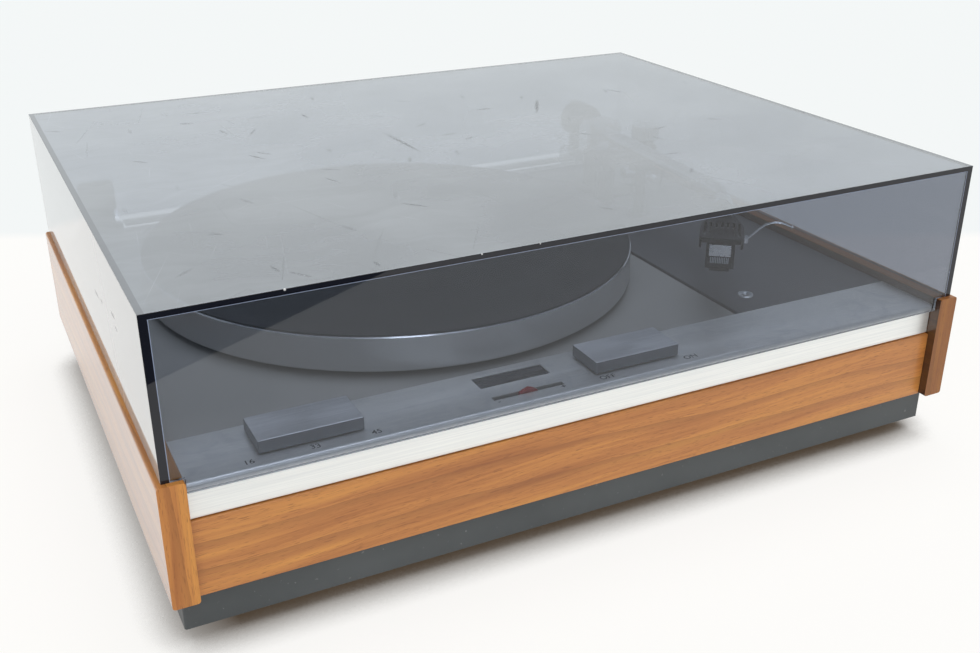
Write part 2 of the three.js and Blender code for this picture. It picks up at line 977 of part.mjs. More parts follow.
// Sliding keys and what they drive
function sliderKnob(x) {
  const bottom = panelTop + knobLift;
  const outline = roundedRectangle(
    x - knobLength / 2 + knobBevel,
    knobFrontY + knobBevel,
    x + knobLength / 2 - knobBevel,
    knobFrontY + knobDepth - knobBevel,
    knobBevel,
  );
  const geometry = new THREE.ExtrudeGeometry(outline, {
    depth: knobHeight - knobBevel * 2,
    bevelThickness: knobBevel,
    bevelSize: knobBevel,
    bevelSegments: 2,
    curveSegments: 2,
  });
  geometry.translate(0, 0, bottom + knobBevel);
  const stem = blockAt(x, knobCentreY, stemLength, stemWidth, bottom - stemDepth, bottom + knobBevel);
  return join(solid(geometry), stem);
}

function sliderSwitch(x, left, right) {
  const bottom = deckUnderside - switchHeight;
  const middle = x + (right - left) / 2;
  const body = blockAt(middle, knobCentreY, switchLength, switchDepth, bottom, deckUnderside);
  const stemBottom = panelTop + knobLift - stemDepth;
  return cut(body, stemSlot(x, left, right, stemBottom - stemPlay, deckUnderside + overrun));
}

function pitchPotentiometer() {
  const bottom = deckUnderside - pitchBodyHeight;
  const body = blockAt(
    pitchSlotX,
    pitchSlotY,
    pitchBodyLength,
    pitchBodyDepth,
    bottom,
    deckUnderside,
  );
  const groove = blockAt(
    pitchSlotX,
    pitchSlotY,
    pitchSlotLength,
    pitchSlotWidth,
    deckUnderside - pitchBodyHeight / 2,
    deckUnderside + overrun,
  );
  return cut(body, groove);
}

// The red tab of the fine speed slider, crowned along its length.
function pitchKnob() {
  const half = pitchTabLength / 2;
  const bottom = deckUnderside - pitchBodyHeight / 2 + stemPlay;
  const shoulder = panelTop + pitchTabRise * pitchCrownShare;
  const tab = polygon([
    [pitchSlotX - half, bottom],
    [pitchSlotX + half, bottom],
    [pitchSlotX + half, panelTop],
    [pitchSlotX + half * pitchCrownShare, shoulder],
    [pitchSlotX, panelTop + pitchTabRise],
    [pitchSlotX - half * pitchCrownShare, shoulder],
    [pitchSlotX - half, panelTop],
  ]);
  return prismAlongY(tab, pitchSlotY - pitchTabWidth / 2, pitchSlotY + pitchTabWidth / 2);
}

// Platter, its mat, and the driven hub with its spindle
function outerPlatter() {
  const rimInner = platterRadius - platterRimWall;
  const lipInner = platterRadius - platterLipWidth;
  const ribOuter = platterRibRadius + platterRibWidth / 2;
  const ribInner = platterRibRadius - platterRibWidth / 2;
  const hole = innerBossRadius + seatGap;
  const profile = [
    [hole, webBottom],
    [ribInner, webBottom],
    [ribInner, webBottom - platterRibDepth],
    [ribOuter, webBottom - platterRibDepth],
    [ribOuter, webBottom],
    [rimInner, webBottom],
    [rimInner, rimBottom],
    [platterRadius - platterRimRound, rimBottom],
    [platterRadius, rimBottom + platterRimRound],
    [platterRadius, rimTop - platterRimRound],
    [platterRadius - platterRimRound, rimTop],
    [lipInner, rimTop],
    [lipInner, webTop],
    [hole, webTop],
    [hole, webBottom],
  ];
  return turned(profile, platterX, platterY, fineSides);
}

function platterMat() {
  const edge = platterRadius - platterLipWidth - matPlay;
  const hole = pinRadius + matPlay;
  const grooveOuter = matGrooveRadius + matGrooveWidth;
  const sunk = matTop - matStepDepth;
  const profile = [
    [hole, webTop],
    [edge, webTop],
    [edge, matTop],
    [grooveOuter, matTop],
    [grooveOuter, sunk],
    [matGrooveRadius, sunk],
    [matGrooveRadius, matTop],
    [matStepRadius, matTop],
    [matStepRadius, sunk],
    [hole, sunk],
    [hole, webTop],
  ];
  return turned(profile, platterX, platterY, fineSides);
}

function innerPlatter() {
  const webUnder = innerTop - innerWebThickness;
  const bossTop = webTop - seatGap;
  const tipBottom = housingBottom + housingFloor + seatGap;
  const profile = [
    [0, tipBottom],
    [spindleRadius - spindlePlay * 2, tipBottom],
    [spindleRadius, tipBottom + spindleRadius],
    [spindleRadius, innerBottom - innerHubDrop],
    [innerHubRadius, innerBottom - innerHubDrop],
    [innerHubRadius, webUnder],
    [innerRadius - innerWall, webUnder],
    [innerRadius - innerWall, innerBottom],
    [innerRadius, innerBottom],
    [innerRadius, innerTop],
    [innerBossRadius, innerTop],
    [innerBossRadius, bossTop],
    [pinRadius, bossTop],
    [pinRadius, matTop + pinHeight - pinTaper],
    [0, matTop + pinHeight],
  ];
  return turned(profile, platterX, platterY, fineSides / 2);
}

function bearingHousing() {
  const bore = spindleRadius + spindlePlay;
  const profile = [
    [0, housingBottom],
    [housingRadius, housingBottom],
    [housingRadius, frameTop],
    [housingFlangeRadius, frameTop],
    [housingFlangeRadius, frameTop + housingFlange],
    [housingRadius, frameTop + housingFlange],
    [housingRadius, housingTop],
    [bore, housingTop],
    [bore, housingBottom + housingFloor],
    [0, housingBottom + housingFloor],
  ];
  return turned(profile, platterX, platterY);
}

// Motor, pulley and belt
function motor() {
  const top = deckUnderside;
  const bossTop = top + motorBossRise;
  const bore = shaftRadius + shaftPlay;
  const bottom = top - motorHeight;
  const profile = [
    [0, bottom],
    [motorRadius - motorRim, bottom],
    [motorRadius, bottom + motorRim],
    [motorRadius, top - motorFlange],
    [motorFlangeRadius, top - motorFlange],
    [motorFlangeRadius, top],
    [motorBossRadius, top],
    [motorBossRadius, bossTop],
    [bore, bossTop],
    [bore, bossTop - motorBoreDepth],
    [0, bossTop - motorBoreDepth],
  ];
  return turned(profile, motorX, motorY);
}

function motorPulley() {
  const landBottom = beltBottom - floatTravel - beltPlay;
  const landTop = beltTop + floatTravel + beltPlay;
  const shaftBottom = deckUnderside + motorBossRise - motorBoreDepth + seatGap;
  const profile = [
    [0, shaftBottom],
    [shaftRadius, shaftBottom],
    [shaftRadius, landBottom - pulleyFlange],
    [pulleyFlangeRadius, landBottom - pulleyFlange],
    [pulleyFlangeRadius, landBottom],
    [pulleyRadius, landBottom],
    [pulleyRadius, landTop],
    [pulleyFlangeRadius, landTop],
    [pulleyFlangeRadius, landTop + pulleyFlange],
    [0, landTop + pulleyFlange],
  ];
  return turned(profile, motorX, motorY);
}

// The outline of a loop at one distance outside both the hub and the pulley.
function beltOutline(outside) {
  const big = innerRadius + outside;
  const small = pulleyRadius + outside;
  const dx = motorX - platterX;
  const dy = motorY - platterY;
  const distance = Math.hypot(dx, dy);
  const toPulley = Math.atan2(dy, dx);
  const tangent = Math.acos((big - small) / distance);
  const shape = new THREE.Shape();
  shape.absarc(platterX, platterY, big, toPulley + tangent, toPulley + Math.PI * 2 - tangent, false);
  shape.absarc(motorX, motorY, small, toPulley - tangent, toPulley + tangent, false);
  return shape;
}

function driveBelt() {
  const loop = beltOutline(seatGap + beltThickness);
  loop.holes.push(beltOutline(seatGap));
  const geometry = new THREE.ExtrudeGeometry(loop, {
    depth: beltWidth,
    bevelEnabled: false,
    curveSegments: beltSteps,
  });
  geometry.translate(0, 0, beltBottom);
  return solid(geometry);
}

// Sprung frame under the deck
function springPlaces() {
  return [
    [springLeftX, springLeftY],
    [springRightX, springRearY],
    [springRightX, springFrontY],
  ];
}

// Where the arm board stands on the frame.
function spacerPlaces() {
  return [
    [eyeletX, eyeletY],
    [armboardRightX - spacerInset, pivotY - restDistance],
    [armboardLeftX + spacerInset, armboardRearY - spacerRearInset],
  ];
}

// A flat bar with round ends between two points, used for arms and for ribs.
function bar(from, to, radius, bottom, top) {
  const angle = Math.atan2(to[1] - from[1], to[0] - from[0]);
  const shape = new THREE.Shape();
  shape.absarc(to[0], to[1], radius, angle - Math.PI / 2, angle + Math.PI / 2, false);
  shape.absarc(from[0], from[1], radius, angle + Math.PI / 2, angle + Math.PI * 1.5, false);
  return prism(shape, bottom, top);
}

function innerFrame() {
  const bearing = [platterX, platterY];
  const springs = springPlaces();
  const spacers = spacerPlaces();
  const sheetShape = polygon([
    [springs[0][0] - frameCornerRadius, springs[0][1] - cupRadius],
    [springs[2][0] - cupRadius, springs[2][1] - frameCornerRadius],
    [spacers[0][0], spacers[0][1] - frameCornerRadius],
    [spacers[0][0] + frameCornerRadius, spacers[0][1]],
    [spacers[1][0] + frameCornerRadius, spacers[1][1]],
    [spacers[1][0], spacers[1][1] + frameCornerRadius],
    [spacers[2][0] + frameCornerRadius, spacers[2][1] + frameCornerRadius],
    [springs[1][0] - cupRadius, springs[1][1] + frameCornerRadius],
    [springs[0][0] - frameCornerRadius, springs[0][1] + cupRadius],
  ]);
  const solids = [prism(sheetShape, frameBottom, frameTop)];
  solids.push(rod(...bearing, bearingBossRadius, frameTop - bearingBossDrop, frameTop));
  for (const place of springs) {
    solids.push(rod(...place, cupRadius, cupBottom, frameTop));
    solids.push(bar(bearing, place, frameRibWidth / 2, frameBottom - frameRibHeight, frameTop));
  }
  for (const place of spacers) {
    solids.push(rod(...place, spacerRadius, frameBottom, armboardBottom, smallSides));
    solids.push(bar(bearing, place, frameRibWidth / 2, frameBottom - frameRibHeight, frameTop));
  }
  const low = frameBottom - frameRibHeight - overrun;
  const high = frameTop + overrun;
  const cuts = [rod(...bearing, housingRadius + seatGap, low, high)];
  for (const place of springs) {
    cuts.push(rod(...place, boltHoleRadius, low, high, smallSides));
    cuts.push(rod(...place, cupBoreRadius, low, cupBottom + cupRecess, smallSides));
  }
  for (const [x, y] of lighteningPlaces()) cuts.push(rod(x, y, lighteningRadius, low, high));
  for (const place of spacers) {
    cuts.push(rod(...place, eyeletBoreRadius, frameTop, armboardBottom + overrun, smallSides));
  }
  return cut(join(...solids), ...cuts);
}

// Round holes halfway between the ribs.
function lighteningPlaces() {
  const bearing = [platterX, platterY];
  const rims = [...springPlaces(), ...spacerPlaces()];
  const angles = rims.map(([x, y]) => Math.atan2(y - bearing[1], x - bearing[0]));
  angles.sort((a, b) => a - b);
  const places = [];
  for (let i = 0; i + 1 < angles.length; i += 1) {
    const middle = (angles[i] + angles[i + 1]) / 2;
    const half = (angles[i + 1] - angles[i]) / 2;
    const out = (lighteningRadius + frameRibWidth) / Math.sin(half);
    if (half < Math.PI / 4) {
      places.push([bearing[0] + out * Math.cos(middle), bearing[1] + out * Math.sin(middle)]);
    }
  }
  return places.filter(([x]) => x < armboardRightX - spacerInset);
}

function suspensionBolt(x, y) {
  const washerBottom = springSeat - boltWasher;
  const headBottom = deckUnderside - boltHead;
  const profile = [
    [0, boltBottom],
    [boltRadius, boltBottom],
    [boltRadius, washerBottom],
    [boltWasherRadius, washerBottom],
    [boltWasherRadius, springSeat],
    [boltRadius, springSeat],
    [boltRadius, headBottom],
    [boltHeadRadius, headBottom],
    [boltHeadRadius, deckUnderside],
    [0, deckUnderside],
  ];
  const nut = rod(x, y, boltNutRadius, washerBottom - boltNut, washerBottom + boltWasher / 2, hexSides);
  return join(turned(profile, x, y, smallSides), nut);
}

// A compression spring: one unbroken wire, wound about an upright axis.
function springPoints(x, y) {
  const low = springSeat + springWire + weld;
  const high = cupBottom + cupRecess - springWire - weld;
  const steps = springTurns * springStepsPerTurn;
  const points = [];
  for (let i = 0; i <= steps; i += 1) {
    const angle = (i / springStepsPerTurn) * Math.PI * 2;
    const height = low + ((high - low) * i) / steps;
    const across = x + springRadius * Math.cos(angle);
    const along = y + springRadius * Math.sin(angle);
    points.push(new THREE.Vector3(across, along, height));
  }
  return points;
}

function spring(x, y) {
  const points = springPoints(x, y);
  const positions = [];
  const axis = new THREE.Vector3(x, y, 0);
  for (const point of points) {
    const outward = new THREE.Vector3(point.x - axis.x, point.y - axis.y, 0).normalize();
    for (let side = 0; side < springSides; side += 1) {
      const angle = (side / springSides) * Math.PI * 2;
      const ring = outward.clone().multiplyScalar(springWire * Math.cos(angle)).add(point);
      positions.push(ring.x, ring.y, ring.z + springWire * Math.sin(angle));
    }
  }
  const faces = [];
  for (let i = 0; i + 1 < points.length; i += 1) {
    for (let side = 0; side < springSides; side += 1) {
      const a = i * springSides + side;
      const b = i * springSides + ((side + 1) % springSides);
      const c = a + springSides;
      const d = b + springSides;
      faces.push(a, c, b, b, c, d);
    }
  }
  const last = (points.length - 1) * springSides;
  for (let side = 1; side + 1 < springSides; side += 1) {
    faces.push(0, side, side + 1);
    faces.push(last, last + side + 1, last + side);
  }
  const geometry = new THREE.BufferGeometry();
  geometry.setAttribute("position", new THREE.Float32BufferAttribute(positions, 3));
  geometry.setIndex(faces);
  return solid(geometry);
}

// The least gap between turns, measured on the points of the wire's middle line.
function springGap() {
  const points = springPoints(0, 0);
  let least = Infinity;
  for (let i = 0; i < points.length; i += 1) {
    for (let j = i + springStepsPerTurn / 2; j < points.length; j += 1) {
      least = Math.min(least, points[i].distanceTo(points[j]) - springWire * 2);
    }
  }
  return least;
}

// Arm board and its eyelet
function armboard() {
  const board = box(
    armboardLeftX,
    armboardFrontY,
    armboardBottom,
    armboardRightX,
    armboardRearY,
    armboardTop,
  );
  const low = armboardBottom - overrun;
  const high = armboardTop + overrun;
  return cut(
    board,
    rod(pivotX, pivotY, armSleeveRadius + seatGap, low, high),
    rod(eyeletX, eyeletY, eyeletSleeveRadius + seatGap, low, high, smallSides),
  );
}

function armboardEyelet() {
  const bottom = armboardTop - eyeletDepth;
  const profile = [
    [eyeletBoreRadius, bottom],
    [eyeletSleeveRadius, bottom],
    [eyeletSleeveRadius, armboardTop],
    [eyeletRadius, armboardTop],
    [eyeletRadius - eyeletRim / 2, armboardTop + eyeletRim],
    [eyeletBoreRadius + eyeletRim / 2, armboardTop + eyeletRim],
    [eyeletBoreRadius, armboardTop + eyeletRim / 2],
    [eyeletBoreRadius, bottom],
  ];
  return turned(profile, eyeletX, eyeletY, roundSides);
}

// Arm base. These solids are drawn about the pivot, with the arm pointing along -Y.
function armBase() {
  const flangeTop = armboardTop + armFlange;
  const stepTop = flangeTop + armStep;
  const nutTop = armboardBottom - seatGap;
  const profile = [
    [0, nutTop - armNut],
    [armNutRadius, nutTop - armNut],
    [armNutRadius, nutTop],
    [armSleeveRadius, nutTop],
    [armSleeveRadius, armboardTop],
    [armFlangeRadius, armboardTop],
    [armFlangeRadius, flangeTop],
    [armStepRadius, stepTop],
    [armColumnRadius, stepTop],
    [armColumnRadius, columnTop],
    [armBoreRadius, columnTop],
    [armBoreRadius, columnTop - armBoreDepth],
    [0, columnTop - armBoreDepth],
  ];
  const bracketTop = armAxis - bracketDrop + bracketHeight;
  const dialBottom = armAxis - dialTopDrop - dialHeight;
  const [liftX, liftY] = liftPlace();
  const liftTop = flangeTop + liftHousingHeight;
  const leverZ = flangeTop + leverHeight;
  const postX = leverX + leverHubLength / 2 + seatGap;
  const solids = [
    turned(profile),
    bar([armColumnRadius / 2, 0], [dialX, dialY], bracketWidth / 2, armAxis - bracketDrop, bracketTop),
    rod(dialX, dialY, dialPostRadius, armAxis - bracketDrop, dialBottom - seatGap),
    bar([0, 0], [liftX, liftY], liftTongueWidth / 2, armboardTop, flangeTop),
    rod(liftX, liftY, liftHousingRadius, armboardTop, liftTop),
    box(
      postX,
      leverY - leverPostDepth / 2,
      armboardTop,
      postX + leverPost,
      leverY + leverPostDepth / 2,
      leverZ + leverPostDepth / 2,
    ),
    bar([0, 0], [postX + leverPost / 2, leverY], leverPostDepth / 2, armboardTop, flangeTop),
    rodAlong("x", leverX - leverHubLength / 2, postX + leverPost / 2, leverY, leverZ, leverPinRadius),
  ];
  const dialHole = dialStubRadius + trunnionPlay;
  return cut(
    join(...solids),
    rod(0, 0, armBoreRadius, columnTop - armBoreDepth, columnTop + overrun),
    rod(liftX, liftY, liftPlungerRadius + liftPlungerPlay, flangeTop, liftTop + overrun, smallSides),
    rod(dialX, dialY, dialHole, dialBottom - dialStub - seatGap, dialBottom + overrun, smallSides),
  );
}

function liftPlace() {
  const angle = radians(liftAngle);
  return [-liftRadius * Math.sin(angle), -liftRadius * Math.cos(angle)];
}

// The curved bar that raises the arm, on its plunger.
function cuePlatform() {
  const top = armAxis - armTubeRadius - liftGap;
  const inner = liftRadius - liftBarWidth / 2;
  const outer = liftRadius + liftBarWidth / 2;
  const start = -Math.PI / 2 - radians(liftBarEnd);
  const end = -Math.PI / 2 - radians(liftBarStart);
  const shape = new THREE.Shape();
  shape.absarc(0, 0, outer, start, end, false);
  shape.absarc(0, 0, inner, end, start, true);
  const geometry = new THREE.ExtrudeGeometry(shape, {
    depth: liftBar,
    bevelEnabled: false,
    curveSegments: arcSteps * 2,
  });
  geometry.translate(0, 0, top - liftBar);
  const [x, y] = liftPlace();
  const plungerBottom = armboardTop + armFlange + seatGap;
  const plunger = rod(x, y, liftPlungerRadius, plungerBottom, top - liftBar / 2, smallSides);
  return join(solid(geometry), plunger);
}

// The little lever that works the lift, with a ball at its end.
function cueLever() {
  const z = armboardTop + armFlange + leverHeight;
  const x0 = leverX - leverHubLength / 2;
  const x1 = leverX + leverHubLength / 2;
  const hub = rodAlong("x", x0, x1, leverY, z, leverHubRadius);
  const from = new THREE.Vector3(leverX, leverY - leverBoreRadius - leverRodRadius, z);
  const to = new THREE.Vector3(leverX, leverY - leverRodLength, z + leverRodRise);
  const stick = straightTube(from, to, leverRodRadius);
  const ball = new THREE.SphereGeometry(leverTipRadius, smallSides, smallSides / 2);
  ball.translate(to.x, to.y, to.z);
  const bore = rodAlong("x", x0 - overrun, x1 + overrun, leverY, z, leverBoreRadius);
  return cut(join(hub, stick, solid(ball)), bore);
}

// A round bar between any two points.
function straightTube(from, to, radius, sides = smallSides / 2) {
  const length = from.distanceTo(to);
  const geometry = new THREE.CylinderGeometry(radius, radius, length, sides);
  const up = new THREE.Vector3(0, 1, 0);
  const direction = to.clone().sub(from).normalize();
  geometry.applyQuaternion(new THREE.Quaternion().setFromUnitVectors(up, direction));
  const middle = from.clone().add(to).divideScalar(2);
  geometry.translate(middle.x, middle.y, middle.z);
  return solid(geometry);
}

// The side-force dial, with a grooved edge.
function antiskateDial() {
  const bottom = armAxis - dialTopDrop - dialHeight;
  const shape = new THREE.Shape();
  for (let i = 0; i < dialTeeth * 2; i += 1) {
    const angle = (i / (dialTeeth * 2)) * Math.PI * 2;
    const radius = i % 2 ? dialRadius : dialRadius - dialTooth;
    const point = [dialX + radius * Math.cos(angle), dialY + radius * Math.sin(angle)];
    if (i === 0) shape.moveTo(...point);
    else shape.lineTo(...point);
  }
  const stub = rod(dialX, dialY, dialStubRadius, bottom - dialStub, bottom + dialHeight / 2, smallSides);
  return join(prism(shape, bottom, bottom + dialHeight), stub);
}

// The cradle that holds the parked arm: low towards the platter, with a horn on its far side.
function armRest() {
  const floor = armAxis - armTubeRadius - restPlay;
  const bottom = floor - restCradleHeight;
  const radius = armTubeRadius + restPlay;
  const cradle = new THREE.Shape();
  cradle.moveTo(-restLip, bottom);
  cradle.lineTo(radius + restWall, bottom);
  cradle.lineTo(radius + restWall, armAxis + restHornRise);
  cradle.lineTo(radius, armAxis + restHornRise);
  cradle.lineTo(radius, armAxis);
  cradle.absarc(0, armAxis, radius, 0, -Math.PI / 2, true);
  cradle.lineTo(-restLip, floor);
  const y0 = -restDistance - restDepth / 2;
  const y1 = -restDistance + restDepth / 2;
  const post = rod(0, -restDistance, restPostRadius, armboardTop, bottom + weld, smallSides);
  const foundation = rod(0, -restDistance, restFootRadius, armboardTop, armboardTop + restFoot);
  return join(prismAlongY(cradle, y0, y1), post, foundation);
}

// Gimbal yoke on the column
function armYoke() {
  const bottom = columnTop + yokeGap;
  const base = rod(0, 0, yokeRadius, bottom, bottom + yokeBase);
  const pin = rod(0, 0, yokePinRadius, bottom - yokePinLength, bottom + yokeBase / 2, smallSides);
  const solids = [base, pin];
  for (const side of [-1, 1]) {
    const x0 = side < 0 ? -yokeInner - yokeCheek : yokeInner;
    const cheek = new THREE.Shape();
    cheek.moveTo(-yokeCheekWidth / 2, bottom);
    cheek.lineTo(yokeCheekWidth / 2, bottom);
    cheek.lineTo(yokeEyeRadius, armAxis);
    cheek.absarc(0, armAxis, yokeEyeRadius, 0, Math.PI, false);
    solids.push(prismAlongX(cheek, x0, x0 + yokeCheek));
    const pinInner = blockHalfWidth - trunnionGrip;
    const ends = side < 0 ? [-yokeInner - weld, -pinInner] : [pinInner, yokeInner + weld];
    solids.push(rodAlong("x", ...ends, 0, armAxis, trunnionRadius));
  }
  return join(...solids);
}

// The bent arm tube with its bearing block, its rear stub and its locking ring
function armTubePath() {
  const bend = radians(armBend);
  const path = new THREE.CurvePath();
  const start = new THREE.Vector3(0, -blockHalfLength + overrun, armAxis);
  const bendStart = new THREE.Vector3(0, -armStraight, armAxis);
  path.add(new THREE.LineCurve3(start, bendStart));
  const corner = armBendRadius * Math.tan(bend / 2);
  const middle = new THREE.Vector3(0, -armStraight - corner, armAxis);
  const bendEnd = headPoint(bendToStylus);
  path.add(new THREE.QuadraticBezierCurve3(bendStart, middle, bendEnd));
  path.add(new THREE.LineCurve3(bendEnd, headPoint(shellBack + shellCollar + seatGap)));
  return path;
}

// A point on the headshell's middle line, by its distance behind the stylus.
function headPoint(behind) {
  const stylus = stylusPlace();
  const bend = radians(armBend);
  return new THREE.Vector3(
    stylus.x + behind * Math.sin(bend),
    stylus.y + behind * Math.cos(bend),
    armAxis,
  );
}

function stylusPlace() {
  const bend = radians(armBend);
  const corner = armBendRadius * Math.tan(bend / 2);
  const reach = corner + bendToStylus;
  return new THREE.Vector2(-reach * Math.sin(bend), -armStraight - corner - reach * Math.cos(bend));
}

function armTube() {
  const section = new THREE.Shape();
  section.absarc(0, 0, armTubeRadius, 0, Math.PI * 2, false);
  const tube = new THREE.ExtrudeGeometry(section, {
    extrudePath: armTubePath(),
    steps: armTubeSteps,
    curveSegments: smallSides / 2,
  });
  const block = prismAlongY(
    roundedRectangle(
      -blockHalfWidth,
      armAxis - blockHalfHeight,
      blockHalfWidth,
      armAxis + blockHalfHeight,
      blockBevel,
    ),
    -blockHalfLength,
    blockHalfLength,
  );
  const stub = rodAlong("y", blockHalfLength - overrun, blockHalfLength + stubLength, 0, armAxis, stubRadius);
  const ringEnd = shellBack + shellCollar + seatGap;
  const ring = straightTube(
    headPoint(ringEnd + lockRing),
    headPoint(ringEnd),
    lockRingRadius,
    smallSides,
  );
  const bore = trunnionRadius + trunnionPlay;
  const boreEnd = blockHalfWidth - trunnionGrip - seatGap;
  const left = rodAlong("x", -blockHalfWidth - overrun, -boreEnd, 0, armAxis, bore);
  const right = rodAlong("x", boreEnd, blockHalfWidth + overrun, 0, armAxis, bore);
  return cut(join(solid(tube), block, stub, ring), left, right);
}

function counterweight() {
  const bore = stubRadius + weightPlay;
  const end = weightStart + weightLength;
  const profile = [
    [bore, weightStart - weightCollar],
    [weightCollarRadius, weightStart - weightCollar],
    [weightCollarRadius, weightStart],
    [weightRadius - weightBevel, weightStart],
    [weightRadius, weightStart + weightBevel],
    [weightRadius, end - weightBevel],
    [weightRadius - weightBevel, end],
    [bore, end],
    [bore, weightStart - weightCollar],
  ];
  const points = profile.map(([r, y]) => new THREE.Vector2(r, y));
  const geometry = new THREE.LatheGeometry(points, roundSides);
  geometry.translate(0, 0, armAxis);
  return solid(geometry);
}

// Head parts. These solids are drawn about the stylus, pointing along -Y, with z = 0 on the arm's axis.
function headshell() {
  const half = shellWidth / 2;
  const back = shellBackWidth / 2;
  const plan = new THREE.Shape();
  plan.moveTo(-half + shellCornerRadius, -shellFront);
  plan.lineTo(half - shellCornerRadius, -shellFront);
  plan.absarc(
    half - shellCornerRadius,
    -shellFront + shellCornerRadius,
    shellCornerRadius,
    -Math.PI / 2,
    0,
    false,
  );
  plan.lineTo(half, shellParallel);
  plan.lineTo(back, shellBack);
  plan.lineTo(-back, shellBack);
  plan.lineTo(-half, shellParallel);
  plan.lineTo(-half, -shellFront + shellCornerRadius);
  plan.absarc(
    -half + shellCornerRadius,
    -shellFront + shellCornerRadius,
    shellCornerRadius,
    Math.PI,
    Math.PI * 1.5,
    false,
  );
  const top = shellThickness / 2;
  const body = prism(plan, -top - shellSkirt, top);
  const inner = polygon([
    [-half + shellSkirtWall, -shellFront - overrun],
    [half - shellSkirtWall, -shellFront - overrun],
    [half - shellSkirtWall, shellParallel],
    [back - shellSkirtWall, shellBack - shellSkirtWall],
    [-back + shellSkirtWall, shellBack - shellSkirtWall],
    [-half + shellSkirtWall, shellParallel],
  ]);
  const cuts = [prism(inner, -top - shellSkirt - overrun, -top)];
  for (let i = 0; i < shellSlotCount; i += 1) {
    const x = (i - (shellSlotCount - 1) / 2) * shellSlotPitch;
    const middle = (shellSlotBack - shellSlotFront) / 2;
    cuts.push(
      blockAt(x, middle, shellSlotWidth, shellSlotBack + shellSlotFront, -top - overrun, top + overrun),
    );
  }
  const collar = rodAlong("y", shellBack - overrun, shellBack + shellCollar, 0, 0, shellCollarRadius);
  return join(cut(body, ...cuts), collar);
}

function cartridge() {
  const top = -shellThickness / 2;
  const bottom = top - cartridgeHeight;
  const half = cartridgeWidth / 2;
  const side = polygon([
    [-cartridgeFront, top],
    [-cartridgeFront - cartridgeNose, bottom],
    [cartridgeBack * cartridgeBackShare, bottom],
    [cartridgeBack, bottom + cartridgeHeight * cartridgeBackShare],
    [cartridgeBack, top],
  ]);
  return prismAlongX(side, -half, half);
}

function stylus() {
  const top = -shellThickness / 2 - cartridgeHeight;
  const bottom = top - stylusHeight;
  const front = -cartridgeFront;
  const half = stylusWidth / 2;
  const holder = polygon([
    [front, top],
    [front + stylusHeight, bottom],
    [stylusBack, bottom],
    [stylusBack, top],
  ]);
  const body = prismAlongX(holder, -half, half);
  const root = new THREE.Vector3(0, stylusBack / 2, bottom + cantileverRadius);
  const tip = new THREE.Vector3(0, 0, -stylusDrop + tipRadius * 2);
  const cantilever = straightTube(root, tip, cantileverRadius);
  const point = new THREE.ConeGeometry(tipRadius, tipRadius * 2, smallSides / 2);
  point.rotateX(-Math.PI / 2);
  point.translate(0, 0, -stylusDrop + tipRadius);
  return join(body, cantilever, solid(point));
}

// The thin bowed finger lift on the outer side of the headshell.
function fingerLift() {
  const side = shellWidth / 2 + seatGap;
  const y = -fingerAhead;
  const shoulder = fingerRise * fingerShoulderRiseShare;
  const tip = new THREE.Vector3(side + fingerReach, y, fingerTipRise);
  const curve = new THREE.CatmullRomCurve3([
    new THREE.Vector3(side + fingerLug / 2, y, 0),
    new THREE.Vector3(side + fingerReach * fingerShoulderShare, y, shoulder),
    new THREE.Vector3(side + fingerReach * fingerCrestShare, y, fingerRise),
    tip,
  ]);
  const section = new THREE.Shape();
  section.absarc(0, 0, fingerRadius, 0, Math.PI * 2, false);
  const wire = new THREE.ExtrudeGeometry(section, {
    extrudePath: curve,
    steps: fingerSteps,
    curveSegments: smallSides / 4,
  });
  const ball = new THREE.SphereGeometry(fingerTipRadius, smallSides / 2, smallSides / 2);
  ball.translate(tip.x, tip.y, tip.z);
  const lug = blockAt(
    side + fingerLug / 2,
    y,
    fingerLug,
    fingerLugLength,
    -shellThickness / 2,
    shellThickness / 2,
  );
  return join(solid(wire), solid(ball), lug);
}

// Cover: five bonded sheets, with the front one dropping between the side boards
function dustCover() {
  const half = coverWidth / 2;
  const outer = box(-half, coverFrontInset, boardTop, half, coverRearY, coverTop);
  const inner = box(
    -half + coverWall,
    coverFrontInset + coverWall,
    boardTop - overrun,
    half - coverWall,
    coverRearY - coverWall,
    coverTop - coverWall,
  );
  const tab = box(
    -innerHalfWidth + coverTabPlay,
    coverFrontInset,
    boardTop - coverTab,
    innerHalfWidth - coverTabPlay,
    coverFrontInset + coverWall,
    boardTop + coverWall,
  );
  return join(cut(outer, inner), tab);
}

// Hinges
function hingeBracket(x) {
  const plateTop = hingeAxisZ + hingePlateDrop;
  const plateBottom = plateTop - hingePlateHeight;
  const halfInside = hingeKnuckleLength / 2 + hingeEndPlay;
  const halfOutside = halfInside + hingeEar;
  const plateBack = rearPanelBackY + hingePlate;
  const plate = box(x - halfOutside, rearPanelBackY, plateBottom, x + halfOutside, plateBack, plateTop);
  const ear = new THREE.Shape();
  ear.moveTo(rearPanelBackY, plateBottom);
  ear.lineTo(rearPanelBackY + hingeEarDepth, plateBottom);
  ear.lineTo(hingeAxisY + hingeEarRadius, hingeAxisZ);
  ear.absarc(hingeAxisY, hingeAxisZ, hingeEarRadius, 0, Math.PI / 2, false);
  ear.lineTo(hingeAxisY - hingeEarRadius, hingeAxisZ);
  ear.lineTo(rearPanelBackY, hingeAxisZ);
  const pin = rodAlong("x", x - halfOutside, x + halfOutside, hingeAxisY, hingeAxisZ, hingePinRadius);
  return join(
    plate,
    prismAlongX(ear, x - halfOutside, x - halfInside),
    prismAlongX(ear, x + halfInside, x + halfOutside),
    pin,
  );
}

